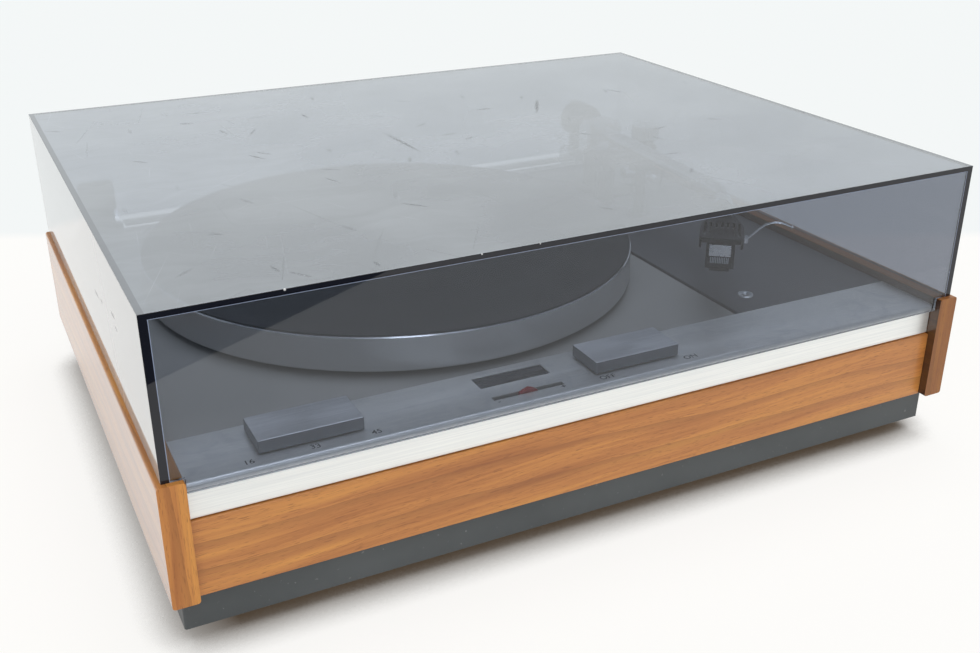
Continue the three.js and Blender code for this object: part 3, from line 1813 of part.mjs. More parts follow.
function hingeLeaf(x) {
  const halfLength = hingeKnuckleLength / 2;
  const leafBottom = boardTop + hingeLeafLift;
  const plan = roundedRectangle(
    x - hingeLeafWidth / 2,
    leafBottom,
    x + hingeLeafWidth / 2,
    leafBottom + hingeLeafHeight,
    hingeLeafRadius,
  );
  const leaf = prismAlongY(plan, coverRearY, coverRearY + hingePlate);
  const knuckle = rodAlong(
    "x",
    x - halfLength,
    x + halfLength,
    hingeAxisY,
    hingeAxisZ,
    hingeKnuckleRadius,
    roundSides,
  );
  const neck = polygon([
    [coverRearY + weld, leafBottom + hingeLeafRadius],
    [coverRearY + weld, leafBottom],
    [hingeAxisY - hingeKnuckleRadius, hingeAxisZ],
    [hingeAxisY, hingeAxisZ],
    [hingeAxisY + hingeKnuckleRadius / 2, hingeAxisZ + hingeKnuckleRadius / 2],
    [coverRearY + hingePlate, leafBottom + hingeLeafRadius],
  ]);
  const web = prismAlongX(neck, x - halfLength, x + halfLength);
  const bore = rodAlong(
    "x",
    x - halfLength - overrun,
    x + halfLength + overrun,
    hingeAxisY,
    hingeAxisZ,
    hingePinRadius + hingeBore,
  );
  return cut(join(leaf, knuckle, web), bore);
}

// Rear sockets and inlet
function socketPlaces() {
  return [
    [plateX - socketPitch, socketBodyRadius],
    [plateX, socketBodyRadius],
    [plateX + socketPitch, groundRadius],
  ];
}

function connectorPlate() {
  const back = rearPanelBackY + plateSheet;
  const solids = [
    box(
      plateX - plateWidth / 2,
      rearPanelBackY,
      plateZ - plateHeight / 2,
      plateX + plateWidth / 2,
      back,
      plateZ + plateHeight / 2,
    ),
  ];
  const bores = [];
  for (const [x, bodyRadius] of socketPlaces()) {
    const isSocket = bodyRadius === socketBodyRadius;
    const outside = isSocket ? socketRadius : groundRadius;
    solids.push(rodAlong("y", rearPanelBackY, back + socketRise, x, plateZ, outside, roundSides));
    solids.push(
      rodAlong("y", rearPanelBackY - socketBodyDepth, rearPanelBackY + plateSheet / 2, x, plateZ, bodyRadius),
    );
    if (isSocket) {
      bores.push(rodAlong("y", back, back + socketRise + overrun, x, plateZ, socketHoleRadius));
    }
  }
  return cut(join(...solids), ...bores);
}

function mainsInlet() {
  const halfWidth = inletWidth / 2;
  const halfHeight = inletHeight / 2;
  const back = rearPanelBackY + inletFlange;
  const front = rearPanelBackY - inletDepth;
  const flange = box(
    inletX - halfWidth - inletRim,
    rearPanelBackY,
    plateZ - halfHeight - inletRim,
    inletX + halfWidth + inletRim,
    back,
    plateZ + halfHeight + inletRim,
  );
  const body = box(
    inletX - halfWidth,
    front,
    plateZ - halfHeight,
    inletX + halfWidth,
    back,
    plateZ + halfHeight,
  );
  const mouth = box(
    inletX - halfWidth + inletRim,
    front + inletRim,
    plateZ - halfHeight + inletRim,
    inletX + halfWidth - inletRim,
    back + overrun,
    plateZ + halfHeight - inletRim,
  );
  const pins = [-1, 1].map((side) =>
    rodAlong(
      "y",
      front + inletRim - weld,
      rearPanelBackY - inletRim,
      inletX + (side * inletPinPitch) / 2,
      plateZ,
      inletPinRadius,
    ),
  );
  return join(cut(join(flange, body), mouth), ...pins);
}

// Electronics on the bottom panel
function circuitBoard() {
  const sheetBottom = bottomPanelTop + boardStandoff;
  const sheetTop = sheetBottom + boardSheet;
  const solids = [box(boardX, boardY, sheetBottom, boardX + boardLength, boardY + boardWidth, sheetTop)];
  for (const x of [boardX + standoffInset, boardX + boardLength - standoffInset]) {
    for (const y of [boardY + standoffInset, boardY + boardWidth - standoffInset]) {
      solids.push(rod(x, y, standoffRadius, bottomPanelTop, sheetTop, smallSides));
    }
  }
  const capacitorY = boardY + capacitorInset;
  for (const i of [0, 1]) {
    const x = boardX + capacitorInset + i * capacitorPitch;
    solids.push(rod(x, capacitorY, capacitorRadius, sheetTop - weld, sheetTop + capacitorHeight));
  }
  const sinkX = boardX + boardLength - sinkLength - standoffInset * 2;
  const sinkY = boardY + boardWidth / 2;
  const finWidth = sinkLength / (sinkFins * 2 - 1);
  const sinkBase = sheetTop + sinkHeight * sinkBaseShare;
  solids.push(box(sinkX, sinkY, sheetTop - weld, sinkX + sinkLength, sinkY + sinkWidth, sinkBase));
  for (let i = 0; i < sinkFins; i += 1) {
    const x = sinkX + i * finWidth * 2;
    solids.push(box(x, sinkY, sheetTop, x + finWidth, sinkY + sinkWidth, sheetTop + sinkHeight));
  }
  for (const i of [0, 1]) {
    const x = sinkX - chipLength - i * chipPitch;
    const end = [x + chipLength, sinkY + chipWidth, sheetTop + chipHeight];
    solids.push(box(x - chipGap, sinkY, sheetTop - weld, end[0] - chipGap, end[1], end[2]));
  }
  return join(...solids);
}

function transformer() {
  const bottom = bottomPanelTop;
  const footTop = bottom + coreFoot;
  const middle = footTop + coreHeight / 2;
  return join(
    blockAt(coreX, coreY, coreFootLength, coreFootDepth, bottom, footTop),
    blockAt(coreX, coreY, coreLength, coreDepth, footTop - weld, footTop + coreHeight),
    blockAt(coreX, coreY, coilLength, coilDepth, middle - coilHeight / 2, middle + coilHeight / 2),
  );
}

// Assembly, in groups of pieces that move together
const part = new THREE.Group();
part.position.y = -overallDepth / 2;

const plinth = new THREE.Group();
plinth.add(
  piece("plinth_side_left", sideBoard(-1), "veneer"),
  piece("plinth_side_right", sideBoard(1), "veneer"),
  piece("plinth_front_panel", frontPanel(), "veneer"),
  piece("plinth_rear_panel", rearPanel(), "blackWood"),
  piece("base_frame", baseFrame(), "baseBlack"),
  piece("bottom_panel", bottomPanel(), "hardboard"),
  piece("connector_plate", connectorPlate(), "steel"),
  piece("mains_inlet", mainsInlet(), "blackPlastic"),
  piece("circuit_board", circuitBoard(), "circuit"),
  piece("transformer", transformer(), "blackSteel"),
);
for (const [name, place] of Object.entries(footPlaces())) {
  plinth.add(piece(name, foot(...place), "rubber"));
}

const deck = new THREE.Group();
deck.add(
  piece("deck_plate", deckPlate(), "greyEnamel"),
  piece("control_panel", controlPanel(), "brushedAluminium"),
  piece("strobe_window", strobeWindow(), "windowGlass"),
  piece("strobe_mirror", strobeMirror(), "mirror"),
  piece("strobe_lamp", strobeLamp(), "palePlastic"),
  piece("speed_switch", sliderSwitch(speedKnobX, speedTravel, speedTravel), "blackPlastic"),
  piece("power_switch", sliderSwitch(powerKnobX, 0, powerTravel), "blackPlastic"),
  piece("pitch_potentiometer", pitchPotentiometer(), "blackPlastic"),
  piece("speed_knob", sliderKnob(speedKnobX), "knobAluminium"),
  piece("power_knob", sliderKnob(powerKnobX), "knobAluminium"),
  piece("pitch_knob", pitchKnob(), "redPlastic"),
  piece("motor", motor(), "steel"),
  piece("motor_pulley", motorPulley(), "brass"),
);

const floating = new THREE.Group();
floating.add(
  piece("inner_frame", innerFrame(), "castAluminium"),
  piece("bearing_housing", bearingHousing(), "steel"),
  piece("inner_platter", innerPlatter(), "castAluminium"),
  piece("outer_platter", outerPlatter(), "turnedAluminium"),
  piece("platter_mat", platterMat(), "rubber"),
  piece("drive_belt", driveBelt(), "rubber"),
  piece("armboard", armboard(), "blackWood"),
  piece("armboard_eyelet", armboardEyelet(), "chrome"),
);

const springNames = ["left", "rear", "front"];
springPlaces().forEach(([x, y], i) => {
  deck.add(piece("suspension_bolt_" + springNames[i], suspensionBolt(x, y), "steel"));
  deck.add(piece("suspension_spring_" + springNames[i], spring(x, y), "steel"));
});

const arm = new THREE.Group();
arm.position.set(pivotX, pivotY, 0);
arm.rotation.z = -radians(armTurn);
arm.add(
  piece("arm_base", armBase(), "blackSteel"),
  piece("arm_rest", armRest(), "blackPlastic"),
  piece("cue_platform", cuePlatform(), "blackSteel"),
  piece("cue_lever", cueLever(), "blackSteel"),
  piece("antiskate_dial", antiskateDial(), "knobAluminium"),
  piece("arm_yoke", armYoke(), "blackSteel"),
  piece("arm_tube", armTube(), "steel"),
  piece("counterweight", counterweight(), "blackSteel"),
);

const head = new THREE.Group();
head.position.set(stylusPlace().x, stylusPlace().y, armAxis);
head.rotation.z = -radians(armBend);
head.add(
  piece("headshell", headshell(), "blackPlastic"),
  piece("finger_lift", fingerLift(), "steel"),
  piece("cartridge", cartridge(), "palePlastic"),
  piece("stylus", stylus(), "blackPlastic"),
);
arm.add(head);
floating.add(arm);

const cover = new THREE.Group();
cover.add(
  piece("dust_cover", dustCover(), "smoke"),
  piece("hinge_leaf_left", hingeLeaf(-hingeX), "steel"),
  piece("hinge_leaf_right", hingeLeaf(hingeX), "steel"),
);
plinth.add(
  piece("hinge_bracket_left", hingeBracket(-hingeX), "steel"),
  piece("hinge_bracket_right", hingeBracket(hingeX), "steel"),
);

part.add(plinth, deck, floating, cover);
console.log("suspension spring: least gap to itself " + springGap().toFixed(2) + " mm");

export default part;
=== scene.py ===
import math

import bmesh
import bpy
from mathutils import Matrix, Vector


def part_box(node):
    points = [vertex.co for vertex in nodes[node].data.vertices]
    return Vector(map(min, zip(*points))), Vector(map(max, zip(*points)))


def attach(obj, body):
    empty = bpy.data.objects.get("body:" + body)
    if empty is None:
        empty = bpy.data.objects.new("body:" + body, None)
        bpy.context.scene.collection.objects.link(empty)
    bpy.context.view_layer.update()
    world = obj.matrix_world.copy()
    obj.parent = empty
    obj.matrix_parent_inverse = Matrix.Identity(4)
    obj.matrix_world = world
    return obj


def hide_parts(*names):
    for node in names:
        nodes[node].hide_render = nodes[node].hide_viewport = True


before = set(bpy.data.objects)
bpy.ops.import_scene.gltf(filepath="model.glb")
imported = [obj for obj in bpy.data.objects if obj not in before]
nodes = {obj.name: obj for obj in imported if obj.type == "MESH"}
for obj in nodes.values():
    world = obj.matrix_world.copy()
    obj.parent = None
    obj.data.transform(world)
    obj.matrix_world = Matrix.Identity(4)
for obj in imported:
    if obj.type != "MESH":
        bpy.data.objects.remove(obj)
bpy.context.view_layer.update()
print("frame loaded:", len(nodes), "nodes")


# Small helpers

def metres(*mm):
    return tuple(value / 1000.0 for value in mm)


def perMetre(mm):
    return 1000.0 / mm


def linearColour(hexValue):
    parts = [int(hexValue[i:i + 2], 16) / 255.0 for i in (1, 3, 5)]
    lin = [p / 12.92 if p <= 0.04045 else ((p + 0.055) / 1.055) ** 2.4 for p in parts]
    return (*lin, 1.0)


def linkInputs(tree, node, links):
    # a source is a socket, or a node that stands for its first output
    for key, source in links.items():
        socket = source.outputs[0] if isinstance(source, bpy.types.Node) else source
        tree.links.new(socket, node.inputs[key])


# Sockets of a Mix node: 0 share, 2-3 numbers, 4-5 vectors, 6-7 colours; out: 0 number, 1 vector, 2 colour
def addNode(tree, kind, settings=None, links=None):
    node = tree.nodes.new("ShaderNode" + kind)
    for key, value in (settings or {}).items():
        if key == "stops":  # a colour ramp's positions and colours
            ramp = node.color_ramp.elements
            while len(ramp) < len(value):
                ramp.new(0.5)
            for element, (position, colour) in zip(ramp, value):
                element.position, element.color = position, colour
        elif isinstance(key, str) and hasattr(node, key):
            setattr(node, key, value)
        else:
            node.inputs[key].default_value = value
    linkInputs(tree, node, links or {})
    return node


def startMaterial(name, settings):
    material = bpy.data.materials.new(name)
    material.use_nodes = True
    tree = material.node_tree
    tree.nodes.clear()
    shader = addNode(tree, "BsdfPrincipled", settings)
    addNode(tree, "OutputMaterial", {"name": "output"}, {"Surface": shader})
    return material, tree, shader


def placeObject(name, data):
    piece = bpy.data.objects.new(name, data)
    bpy.context.scene.collection.objects.link(piece)
    return piece


# What all the plain finishes share: the make of their noises, and where each mark begins and ends
finish = {
    "patch": {"Scale": 1.0, "Detail": 4.0, "Roughness": 0.55},
    "grain": {"Scale": 1.0, "Detail": 3.0, "Roughness": 0.6},
    "stops": (0.35, 0.68),
    "gloss": {"From Min": 0.3, "From Max": 0.7},
    "strength": 0.5,
    "speck": {"From Min": 0.7, "From Max": 0.76, "To Max": 0.8},
    "smudgeCloud": {"Detail": 4.0, "Roughness": 0.6, "Distortion": 1.2},
    "smudge": {"From Min": 0.5, "From Max": 0.75, "To Max": 0.6},
    # painted shade on faces that stand upright
    "side": {"From Min": 0.5, "From Max": 0.8, "To Min": 1.0, "To Max": 0.0},
}


def surface(name, settings, look):
    # two close colours in soft patches, uneven gloss and a fine relief, all in real sizes
    material, tree, shader = startMaterial(name, settings)
    spot = addNode(tree, "TexCoord")
    where = spot.outputs["Object"]

    def stretchedNoise(key):
        scale = tuple(perMetre(look[key]) / part for part in look.get("stretch", (1, 1, 1)))
        vector = addNode(tree, "Mapping", {"Scale": scale}, {"Vector": where})
        return addNode(tree, "TexNoise", finish[key], {"Vector": vector})

    patch, grain = stretchedNoise("patch"), stretchedNoise("grain")
    tones = [linearColour(look[key]) for key in ("dark", "light")]
    colour = addNode(tree, "ValToRGB", {"stops": list(zip(finish["stops"], tones))}, {"Fac": patch})
    low, high = look["rough"]
    rough = addNode(tree, "MapRange", {**finish["gloss"], "To Min": low, "To Max": high}, {"Value": patch})
    bump = addNode(tree, "Bump", {"Strength": look.get("strength", finish["strength"]),
                                  "Distance": look["relief"] / 1000.0}, {"Height": grain})
    marks = []
    if "speck" in look:  # sparse pale specks of dust and small knocks
        dots = addNode(tree, "TexNoise", {"Scale": perMetre(look["speckSize"]), "Detail": 2.0},
                       {"Vector": where})
        marks.append(("speck", addNode(tree, "MapRange", finish["speck"], {"Value": dots})))
    if "smudge" in look:  # faint darker marks left by hands and cloths
        clouds = addNode(tree, "TexNoise", {"Scale": perMetre(look["smudgeSize"]), **finish["smudgeCloud"]},
                         {"Vector": where})
        mask = addNode(tree, "MapRange", finish["smudge"], {"Value": clouds})
        facing = addNode(tree, "SeparateXYZ", links={"Vector": spot.outputs["Normal"]})
        marks.append(("smudge", addNode(tree, "Math", {"operation": "MULTIPLY", "use_clamp": True},
                                        {0: mask, 1: facing.outputs["Z"]})))
    if "side" in look:  # painted shade: faces that stand upright are darker
        facing = addNode(tree, "SeparateXYZ", links={"Vector": spot.outputs["Normal"]})
        marks.append(("side", addNode(tree, "MapRange", finish["side"], {"Value": facing.outputs["Z"]})))
    for key, mask in marks:
        colour = addNode(tree, "Mix", {"data_type": "RGBA", 7: linearColour(look[key])},
                         {0: mask, 6: colour}).outputs[2]
    linkInputs(tree, shader, {"Base Color": colour, "Roughness": rough, "Normal": bump})
    return material


meshFinish = {"weld": 0.02, "segments": 2, "weight": 80}  # weld in mm


def dress(material, *names, bevel=0.0, angle=32):
    # CAD pieces keep their shapes and get a finish, soft edges in mm and smooth curves
    for name in names:
        piece = nodes[name]
        piece.data.materials.clear()
        piece.data.materials.append(material)
        piece.data.shade_smooth()
        weld = piece.modifiers.new("weld", "WELD")
        weld.merge_threshold = meshFinish["weld"] / 1000.0
        if bevel:
            edge = piece.modifiers.new("edge", "BEVEL")
            edge.width = bevel / 1000.0
            edge.segments = meshFinish["segments"]
            edge.limit_method = "ANGLE"
            edge.angle_limit = math.radians(angle)
            flat = piece.modifiers.new("flat", "WEIGHTED_NORMAL")
            flat.weight = meshFinish["weight"]
        else:
            split = piece.modifiers.new("split", "EDGE_SPLIT")
            split.split_angle = math.radians(angle)


def finishMesh(name, mesh, material, body, replaced=(), angle=35):
    mesh.materials.append(material)
    mesh.shade_smooth()
    mesh.set_sharp_from_angle(angle=math.radians(angle))
    piece = placeObject(name, mesh)
    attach(piece, body)
    if replaced:
        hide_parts(*replaced)


def turned(name, profile, centre, material, body, replaced=(), sides=240, angle=25):
    # a profile of (radius, height) pairs in mm, turned about an upright axis
    mesh = bpy.data.meshes.new(name)
    bm = bmesh.new()
    rings = []
    for radius, height in profile:
        ring = []
        for i in range(sides):
            turn = 2 * math.pi * i / sides
            ring.append(bm.verts.new(metres(centre[0] + radius * math.cos(turn),
                                            centre[1] + radius * math.sin(turn), height)))
        rings.append(ring)
    for inner, outer in zip(rings, rings[1:]):
        for i in range(sides):
            j = (i + 1) % sides
            bm.faces.new((inner[i], inner[j], outer[j], outer[i]))
    bmesh.ops.recalc_face_normals(bm, faces=bm.faces)
    bm.to_mesh(mesh)
    bm.free()
    finishMesh(name, mesh, material, body, replaced, angle)


def bevelledBlock(name, size, matrix, material, body, bevel):
    # a block of a size in mm, with rounded edges, put in place by a matrix in mm
    mesh = bpy.data.meshes.new(name)
    bm = bmesh.new()
    bmesh.ops.create_cube(bm, size=1.0)
    for vert in bm.verts:
        vert.co = Vector((vert.co.x * size[0], vert.co.y * size[1], vert.co.z * size[2]))
    bmesh.ops.bevel(bm, geom=list(bm.edges), offset=bevel, segments=3, profile=0.5, affect="EDGES")
    for vert in bm.verts:
        vert.co = (matrix @ vert.co) / 1000.0
    bm.to_mesh(mesh)
    bm.free()
    finishMesh(name, mesh, material, body)


# Camera at the photograph's place
cameraView = {
    "focalPixels": 1139.6,
    "imageWidth": 980,
    "sensor": 36.0,
    "clip": (0.01, 50.0),
    "place": (-288.8, -620.95, 354.0),
    "yaw": 0.4628,
    "pitch": 0.4270,
    "roll": -0.0016,
}
cameraData = bpy.data.cameras.new("studioCamera")
camera = placeObject("studioCamera", cameraData)
bpy.context.scene.camera = camera
cameraData.sensor_width = cameraView["sensor"]
cameraData.sensor_fit = "HORIZONTAL"
cameraData.lens = cameraView["focalPixels"] * cameraView["sensor"] / cameraView["imageWidth"]
cameraData.clip_start, cameraData.clip_end = cameraView["clip"]
camera.matrix_world = (Matrix.Translation(metres(*cameraView["place"]))
                       @ Matrix.Rotation(-cameraView["yaw"], 4, "Z")
                       @ Matrix.Rotation(math.pi / 2 - cameraView["pitch"], 4, "X")
                       @ Matrix.Rotation(cameraView["roll"], 4, "Z"))
print("camera set")


# Oiled teak veneer, sliced and laid on board: warm brown, with long dark veins, fine pores and a low sheen
veneer = {
    "pale": "#D49144",
    "middle": "#C07C3D",
    "dark": "#A2612D",
    "vein": "#7E4A22",
    "stops": ((0.32, "dark"), (0.48, "middle"), (0.64, "pale")),
    # the noises: length and width in mm, then detail and roughness
    "drift": (160.0, 45.0, 2.0, 0.45),
    "band": (190.0, 9.0, 2.0, 0.5),
    "streak": (90.0, 1.7, 4.0, 0.65),
    "pore": (6.0, 0.42, 1.0, 0.5),
    "streakShare": 0.42,
    "figure": 15.0,
    "figureStretch": 22.0,
    "figureWaves": {"Distortion": 2.2, "Detail": 3.0, "Detail Scale": 0.7},
    "lateWood": {"From Min": 0.62, "From Max": 1.0, "To Max": 0.8},
    "poreMask": {"From Min": 0.6, "From Max": 0.7, "To Max": 0.5},
    "wander": 11.0,
    "tilt": 2.2,
    "facing": 0.7,  # how squarely a face has to look along an axis to count as such
    "shader": {"IOR": 1.5, "Specular IOR Level": 0.45, "Coat Roughness": 0.18},
    "rough": (0.34, 0.5),
    "poreDepth": 0.05,
    "poreStrength": 0.3,
    # darkening for the right board: a darker wood tone with painted shade on its edges, and painted shade on
    # its inner face
    "edgeToneAndShade": "#C4C0BE",
    "innerPaintedShade": "#8A8682",
}


def veneerMaterial(name, along, endAlong=None, tilt=0.0, coat=0.35, darkToneAndShadeEdges=False):
    # along is the axis of the grain, endAlong that on the faces that look to the front and rear.
    # A board with endAlong is waxed on its broad faces alone; the last argument darkens all but its outer face,
    # partly as a darker wood tone and partly as painted shade, and darkens its inner face further with painted
    # shade
    material, tree, shader = startMaterial(name, {**veneer["shader"], "Coat Weight": coat})
    spot = addNode(tree, "TexCoord")
    axes = addNode(tree, "SeparateXYZ", links={"Vector": spot.outputs["Object"]})
    order = {"x": "XYZ", "y": "YXZ", "z": "ZXY"}

    def turnedTo(axis):
        return addNode(tree, "CombineXYZ", links={key: axes.outputs[n] for key, n in zip("XYZ", order[axis])})

    def facing(axis):
        size = addNode(tree, "Math", {"operation": "ABSOLUTE"}, {0: normal.outputs[axis]})
        return addNode(tree, "Math", {"operation": "GREATER_THAN", 1: veneer["facing"]}, {0: size})

    def grainNoise(key, vector):
        length, width, detail, roughness = veneer[key]
        scaled = addNode(tree, "Mapping", {"Scale": (perMetre(length), perMetre(width), perMetre(width))},
                         {"Vector": vector})
        return addNode(tree, "TexNoise", {"Scale": 1.0, "Detail": detail, "Roughness": roughness},
                       {"Vector": scaled})

    vector = turnedTo(along)
    if endAlong:
        normal = addNode(tree, "SeparateXYZ", links={"Vector": spot.outputs["Normal"]})
        vector = addNode(tree, "Mix", {"data_type": "VECTOR"},
                         {0: facing("Y"), 4: vector, 5: turnedTo(endAlong)}).outputs[1]
    tilted = addNode(tree, "Mapping", {"Rotation": (0.0, math.radians(tilt), 0.0)}, {"Vector": vector})
    drift = grainNoise("drift", tilted)
    amount = veneer["wander"] / 1000.0
    wavy = addNode(tree, "VectorMath", {"operation": "MULTIPLY_ADD", 1: (0.0, amount, amount)},
                   {0: drift.outputs["Color"], 2: tilted})
    band, streak, pore = [grainNoise(key, wavy) for key in ("band", "streak", "pore")]
    tone = addNode(tree, "Mix", {"data_type": "FLOAT", 0: veneer["streakShare"]}, {2: band, 3: streak})
    stops = [(place, linearColour(veneer[key])) for place, key in veneer["stops"]]
    colour = addNode(tree, "ValToRGB", {"stops": stops}, {"Fac": tone})
    stretched = addNode(tree, "Mapping", {"Scale": (1.0 / veneer["figureStretch"], 1.0, 1.0)}, {"Vector": wavy})
    figure = addNode(tree, "TexWave", {"wave_type": "BANDS", "bands_direction": "DIAGONAL",
                                       "wave_profile": "SAW", "Scale": math.pi * 200.0 / veneer["figure"],
                                       **veneer["figureWaves"]}, {"Vector": stretched})
    lateWood = addNode(tree, "MapRange", veneer["lateWood"], {"Value": figure.outputs["Fac"]})
    broken = addNode(tree, "Math", {"operation": "MULTIPLY"}, {0: lateWood, 1: streak})
    poreMask = addNode(tree, "MapRange", veneer["poreMask"], {"Value": pore})
    for mask in (broken, poreMask):
        colour = addNode(tree, "Mix", {"data_type": "RGBA", 7: linearColour(veneer["vein"])},
                         {0: mask, 6: colour}).outputs[2]
    if endAlong:
        wax = addNode(tree, "Math", {"operation": "MULTIPLY", 1: coat}, {0: facing("X")})
        linkInputs(tree, shader, {"Coat Weight": wax})
    # painted shade: every face but the outer one is darker, partly as a darker wood tone, and the inner face is
    # darker again
    if darkToneAndShadeEdges:
        for limit, stain in ((veneer["facing"], "edgeToneAndShade"), (-veneer["facing"], "innerPaintedShade")):
            mask = addNode(tree, "Math", {"operation": "LESS_THAN", 1: limit}, {0: normal.outputs["X"]})
            colour = addNode(tree, "Mix", {"data_type": "RGBA", "blend_type": "MULTIPLY",
                                           7: linearColour(veneer[stain])}, {0: mask, 6: colour}).outputs[2]
    low, high = veneer["rough"]
    rough = addNode(tree, "MapRange", {"To Min": low, "To Max": high}, {"Value": streak})
    bump = addNode(tree, "Bump", {"Strength": veneer["poreStrength"], "Distance": veneer["poreDepth"] / 1000.0,
                                  "invert": True}, {"Height": poreMask})
    linkInputs(tree, shader, {"Base Color": colour, "Roughness": rough, "Normal": bump})
    return material


veneerFront = veneerMaterial("oiledTeakVeneerFront", "x", tilt=veneer["tilt"])
veneerSide = veneerMaterial("oiledTeakVeneerSide", "y", "z", coat=1.0)
# the right board, with painted shade on its edges and inner face
veneerRight = veneerMaterial("oiledTeakVeneerToneAndShadeEdged", "y", "z", coat=1.0, darkToneAndShadeEdges=True)
dress(veneerFront, "plinth_front_panel", bevel=0.5)
dress(veneerSide, "plinth_side_left", bevel=0.6)
dress(veneerRight, "plinth_side_right", bevel=0.6)
print("plinth dressed")


metalShader = {"Metallic": 1.0}
lacquerShader = {"IOR": 1.5, "Specular IOR Level": 0.4}

# Satin lacquer on board, sprayed: even dark grey with a slight orange peel
blackLacquer = surface("satinBlackLacquerSprayed", lacquerShader,
                       {"dark": "#26282A", "light": "#2D2F32", "patch": 40, "grain": 1.2,
                        "rough": (0.42, 0.52), "relief": 0.03})
# The same in grey, with specks of dust
baseLacquer = surface("satinGreyLacquerSprayed", lacquerShader,
                      {"dark": "#484C4E", "light": "#54585A", "patch": 60, "grain": 1.0,
                       "rough": (0.38, 0.5), "relief": 0.03, "speck": "#777A7C", "speckSize": 2.5})
# Hardboard, pressed: brown and matt with a fibrous face
hardboard = surface("hardboardPressed", {"IOR": 1.5},
                    {"dark": "#5A4028", "light": "#6E5236", "patch": 9, "grain": 1.1,
                     "rough": (0.75, 0.9), "relief": 0.12})
# Soft rubber, moulded: black and dull
blackRubber = surface("blackRubberMoulded", {"IOR": 1.52},
                      {"dark": "#161617", "light": "#202122", "patch": 8, "grain": 0.6,
                       "rough": (0.6, 0.75), "relief": 0.03})
# Grey enamel on steel, stoved: satin with a fine texture
greyEnamel = surface("greyEnamelStoved", {"IOR": 1.5, "Specular IOR Level": 0.45},
                     {"dark": "#A9AAA6", "light": "#B5B5B1", "patch": 70, "grain": 0.9,
                      "rough": (0.4, 0.5), "relief": 0.02})
# Zinc on steel, plated: pale with a soft uneven shine
zincSteel = surface("zincPlatedSteel", metalShader,
                    {"dark": "#9A9DA0", "light": "#B4B7B9", "patch": 12, "grain": 0.8,
                     "rough": (0.28, 0.42), "relief": 0.01})
# Polished chrome on steel: bright and nearly smooth
chrome = surface("chromePolished", metalShader,
                 {"dark": "#CDD0D2", "light": "#DCDEE0", "patch": 30, "grain": 2.0,
                  "rough": (0.08, 0.16), "relief": 0.002})
# Black paint on steel, baked: satin
blackSteel = surface("blackBakedPaint", {"IOR": 1.5},
                     {"dark": "#17181A", "light": "#1E1F22", "patch": 20, "grain": 0.7,
                      "rough": (0.3, 0.4), "relief": 0.01})
# Aluminium, die cast and sanded: grey with a soft grain
castAluminium = surface("dieCastAluminium", metalShader,
                        {"dark": "#83868A", "light": "#9A9DA0", "patch": 18, "grain": 0.7,
                         "rough": (0.42, 0.58), "relief": 0.04})
# Brass, turned: yellow with a clear shine
brass = surface("brassTurned", metalShader,
                {"dark": "#A88C4C", "light": "#BFA362", "patch": 10, "grain": 0.5,
                 "rough": (0.22, 0.32), "relief": 0.006, "stretch": (6, 6, 1)})
# ABS, moulded: black with a fine sparked grain
blackPlastic = surface("blackAbsMoulded", {"IOR": 1.53},
                       {"dark": "#161719", "light": "#1D1E20", "patch": 14, "grain": 0.5,
                        "rough": (0.36, 0.46), "relief": 0.012})
# Polystyrene, moulded: pale and glossy
palePlastic = surface("palePolystyreneMoulded", {"IOR": 1.58},
                      {"dark": "#AEB4B8", "light": "#C3C8CB", "patch": 9, "grain": 0.6,
                       "rough": (0.2, 0.3), "relief": 0.006})
# Acetal, moulded: red with a soft sheen
redPlastic = surface("redAcetalMoulded", {"IOR": 1.48},
                     {"dark": "#A3222B", "light": "#B52C34", "patch": 5, "grain": 0.5,
                      "rough": (0.3, 0.4), "relief": 0.008})
# Laminate, pressed and varnished: green and faintly mottled
circuitGreen = surface("circuitBoardLaminate", {"IOR": 1.55},
                       {"dark": "#28583A", "light": "#33684A", "patch": 7, "grain": 1.4,
                        "rough": (0.35, 0.5), "relief": 0.04})
# Ink, screen printed: dark and matt
printInk = surface("darkInkPrinted", {"IOR": 1.5},
                   {"dark": "#2B2E32", "light": "#34373B", "patch": 3, "grain": 0.4,
                    "rough": (0.5, 0.6), "relief": 0.004})
# Glass, silvered: a clear bright mirror
mirrorGlass = surface("silveredGlass", metalShader,
                      {"dark": "#D8DBDD", "light": "#E2E4E6", "patch": 30, "grain": 4.0,
                       "rough": (0.04, 0.08), "relief": 0.001})
# Dark acrylic, polished: glossy, with the fine pale lines of the strobe scale glimmering in it
darkWindow = surface("darkAcrylicPolished", {"IOR": 1.49, "Coat Weight": 0.3},
                     {"dark": "#24272B", "light": "#5C6168", "patch": 1.4, "grain": 3.0,
                      "rough": (0.1, 0.18), "relief": 0.002, "stretch": (14, 1, 1)})

dress(blackLacquer, "plinth_rear_panel", bevel=0.4)
dress(baseLacquer, "base_frame", bevel=0.4)
dress(hardboard, "bottom_panel")
dress(blackRubber, "foot_front_left", "foot_front_right", "foot_rear_left", "foot_rear_right", angle=50)
dress(zincSteel, "connector_plate", angle=50)
dress(blackPlastic, "mains_inlet", angle=50)
dress(circuitGreen, "circuit_board", angle=50)
dress(blackSteel, "transformer")
print("base dressed")


# Brushed aluminium, anodised clear: fine lines along its length.
# The real lines are about 0.1 mm apart, drawn here at 0.6 mm so that they show
brushed = {"light": "#FCFDFA", "dark": "#EDEFEE", "line": (70.0, 0.6), "rough": (0.34, 0.42),
           "metallic": 0.75, "extra": {"smudge": "#D5D9DD", "smudgeSize": 16}}
# The keys have a brushed top, and their upright sides are darkened by painted shade
knobFinishPaintedShade = {"light": "#F0F2F4", "dark": "#DCDFE2", "line": (30.0, 0.6), "rough": (0.36, 0.44),
              "metallic": 0.8, "extra": {"side": "#82868B"}}
dialFinish = {"light": "#B9BEC4", "dark": "#A6ABB1", "line": (30.0, 0.6), "rough": (0.36, 0.44),
              "metallic": 1.0, "extra": {}}


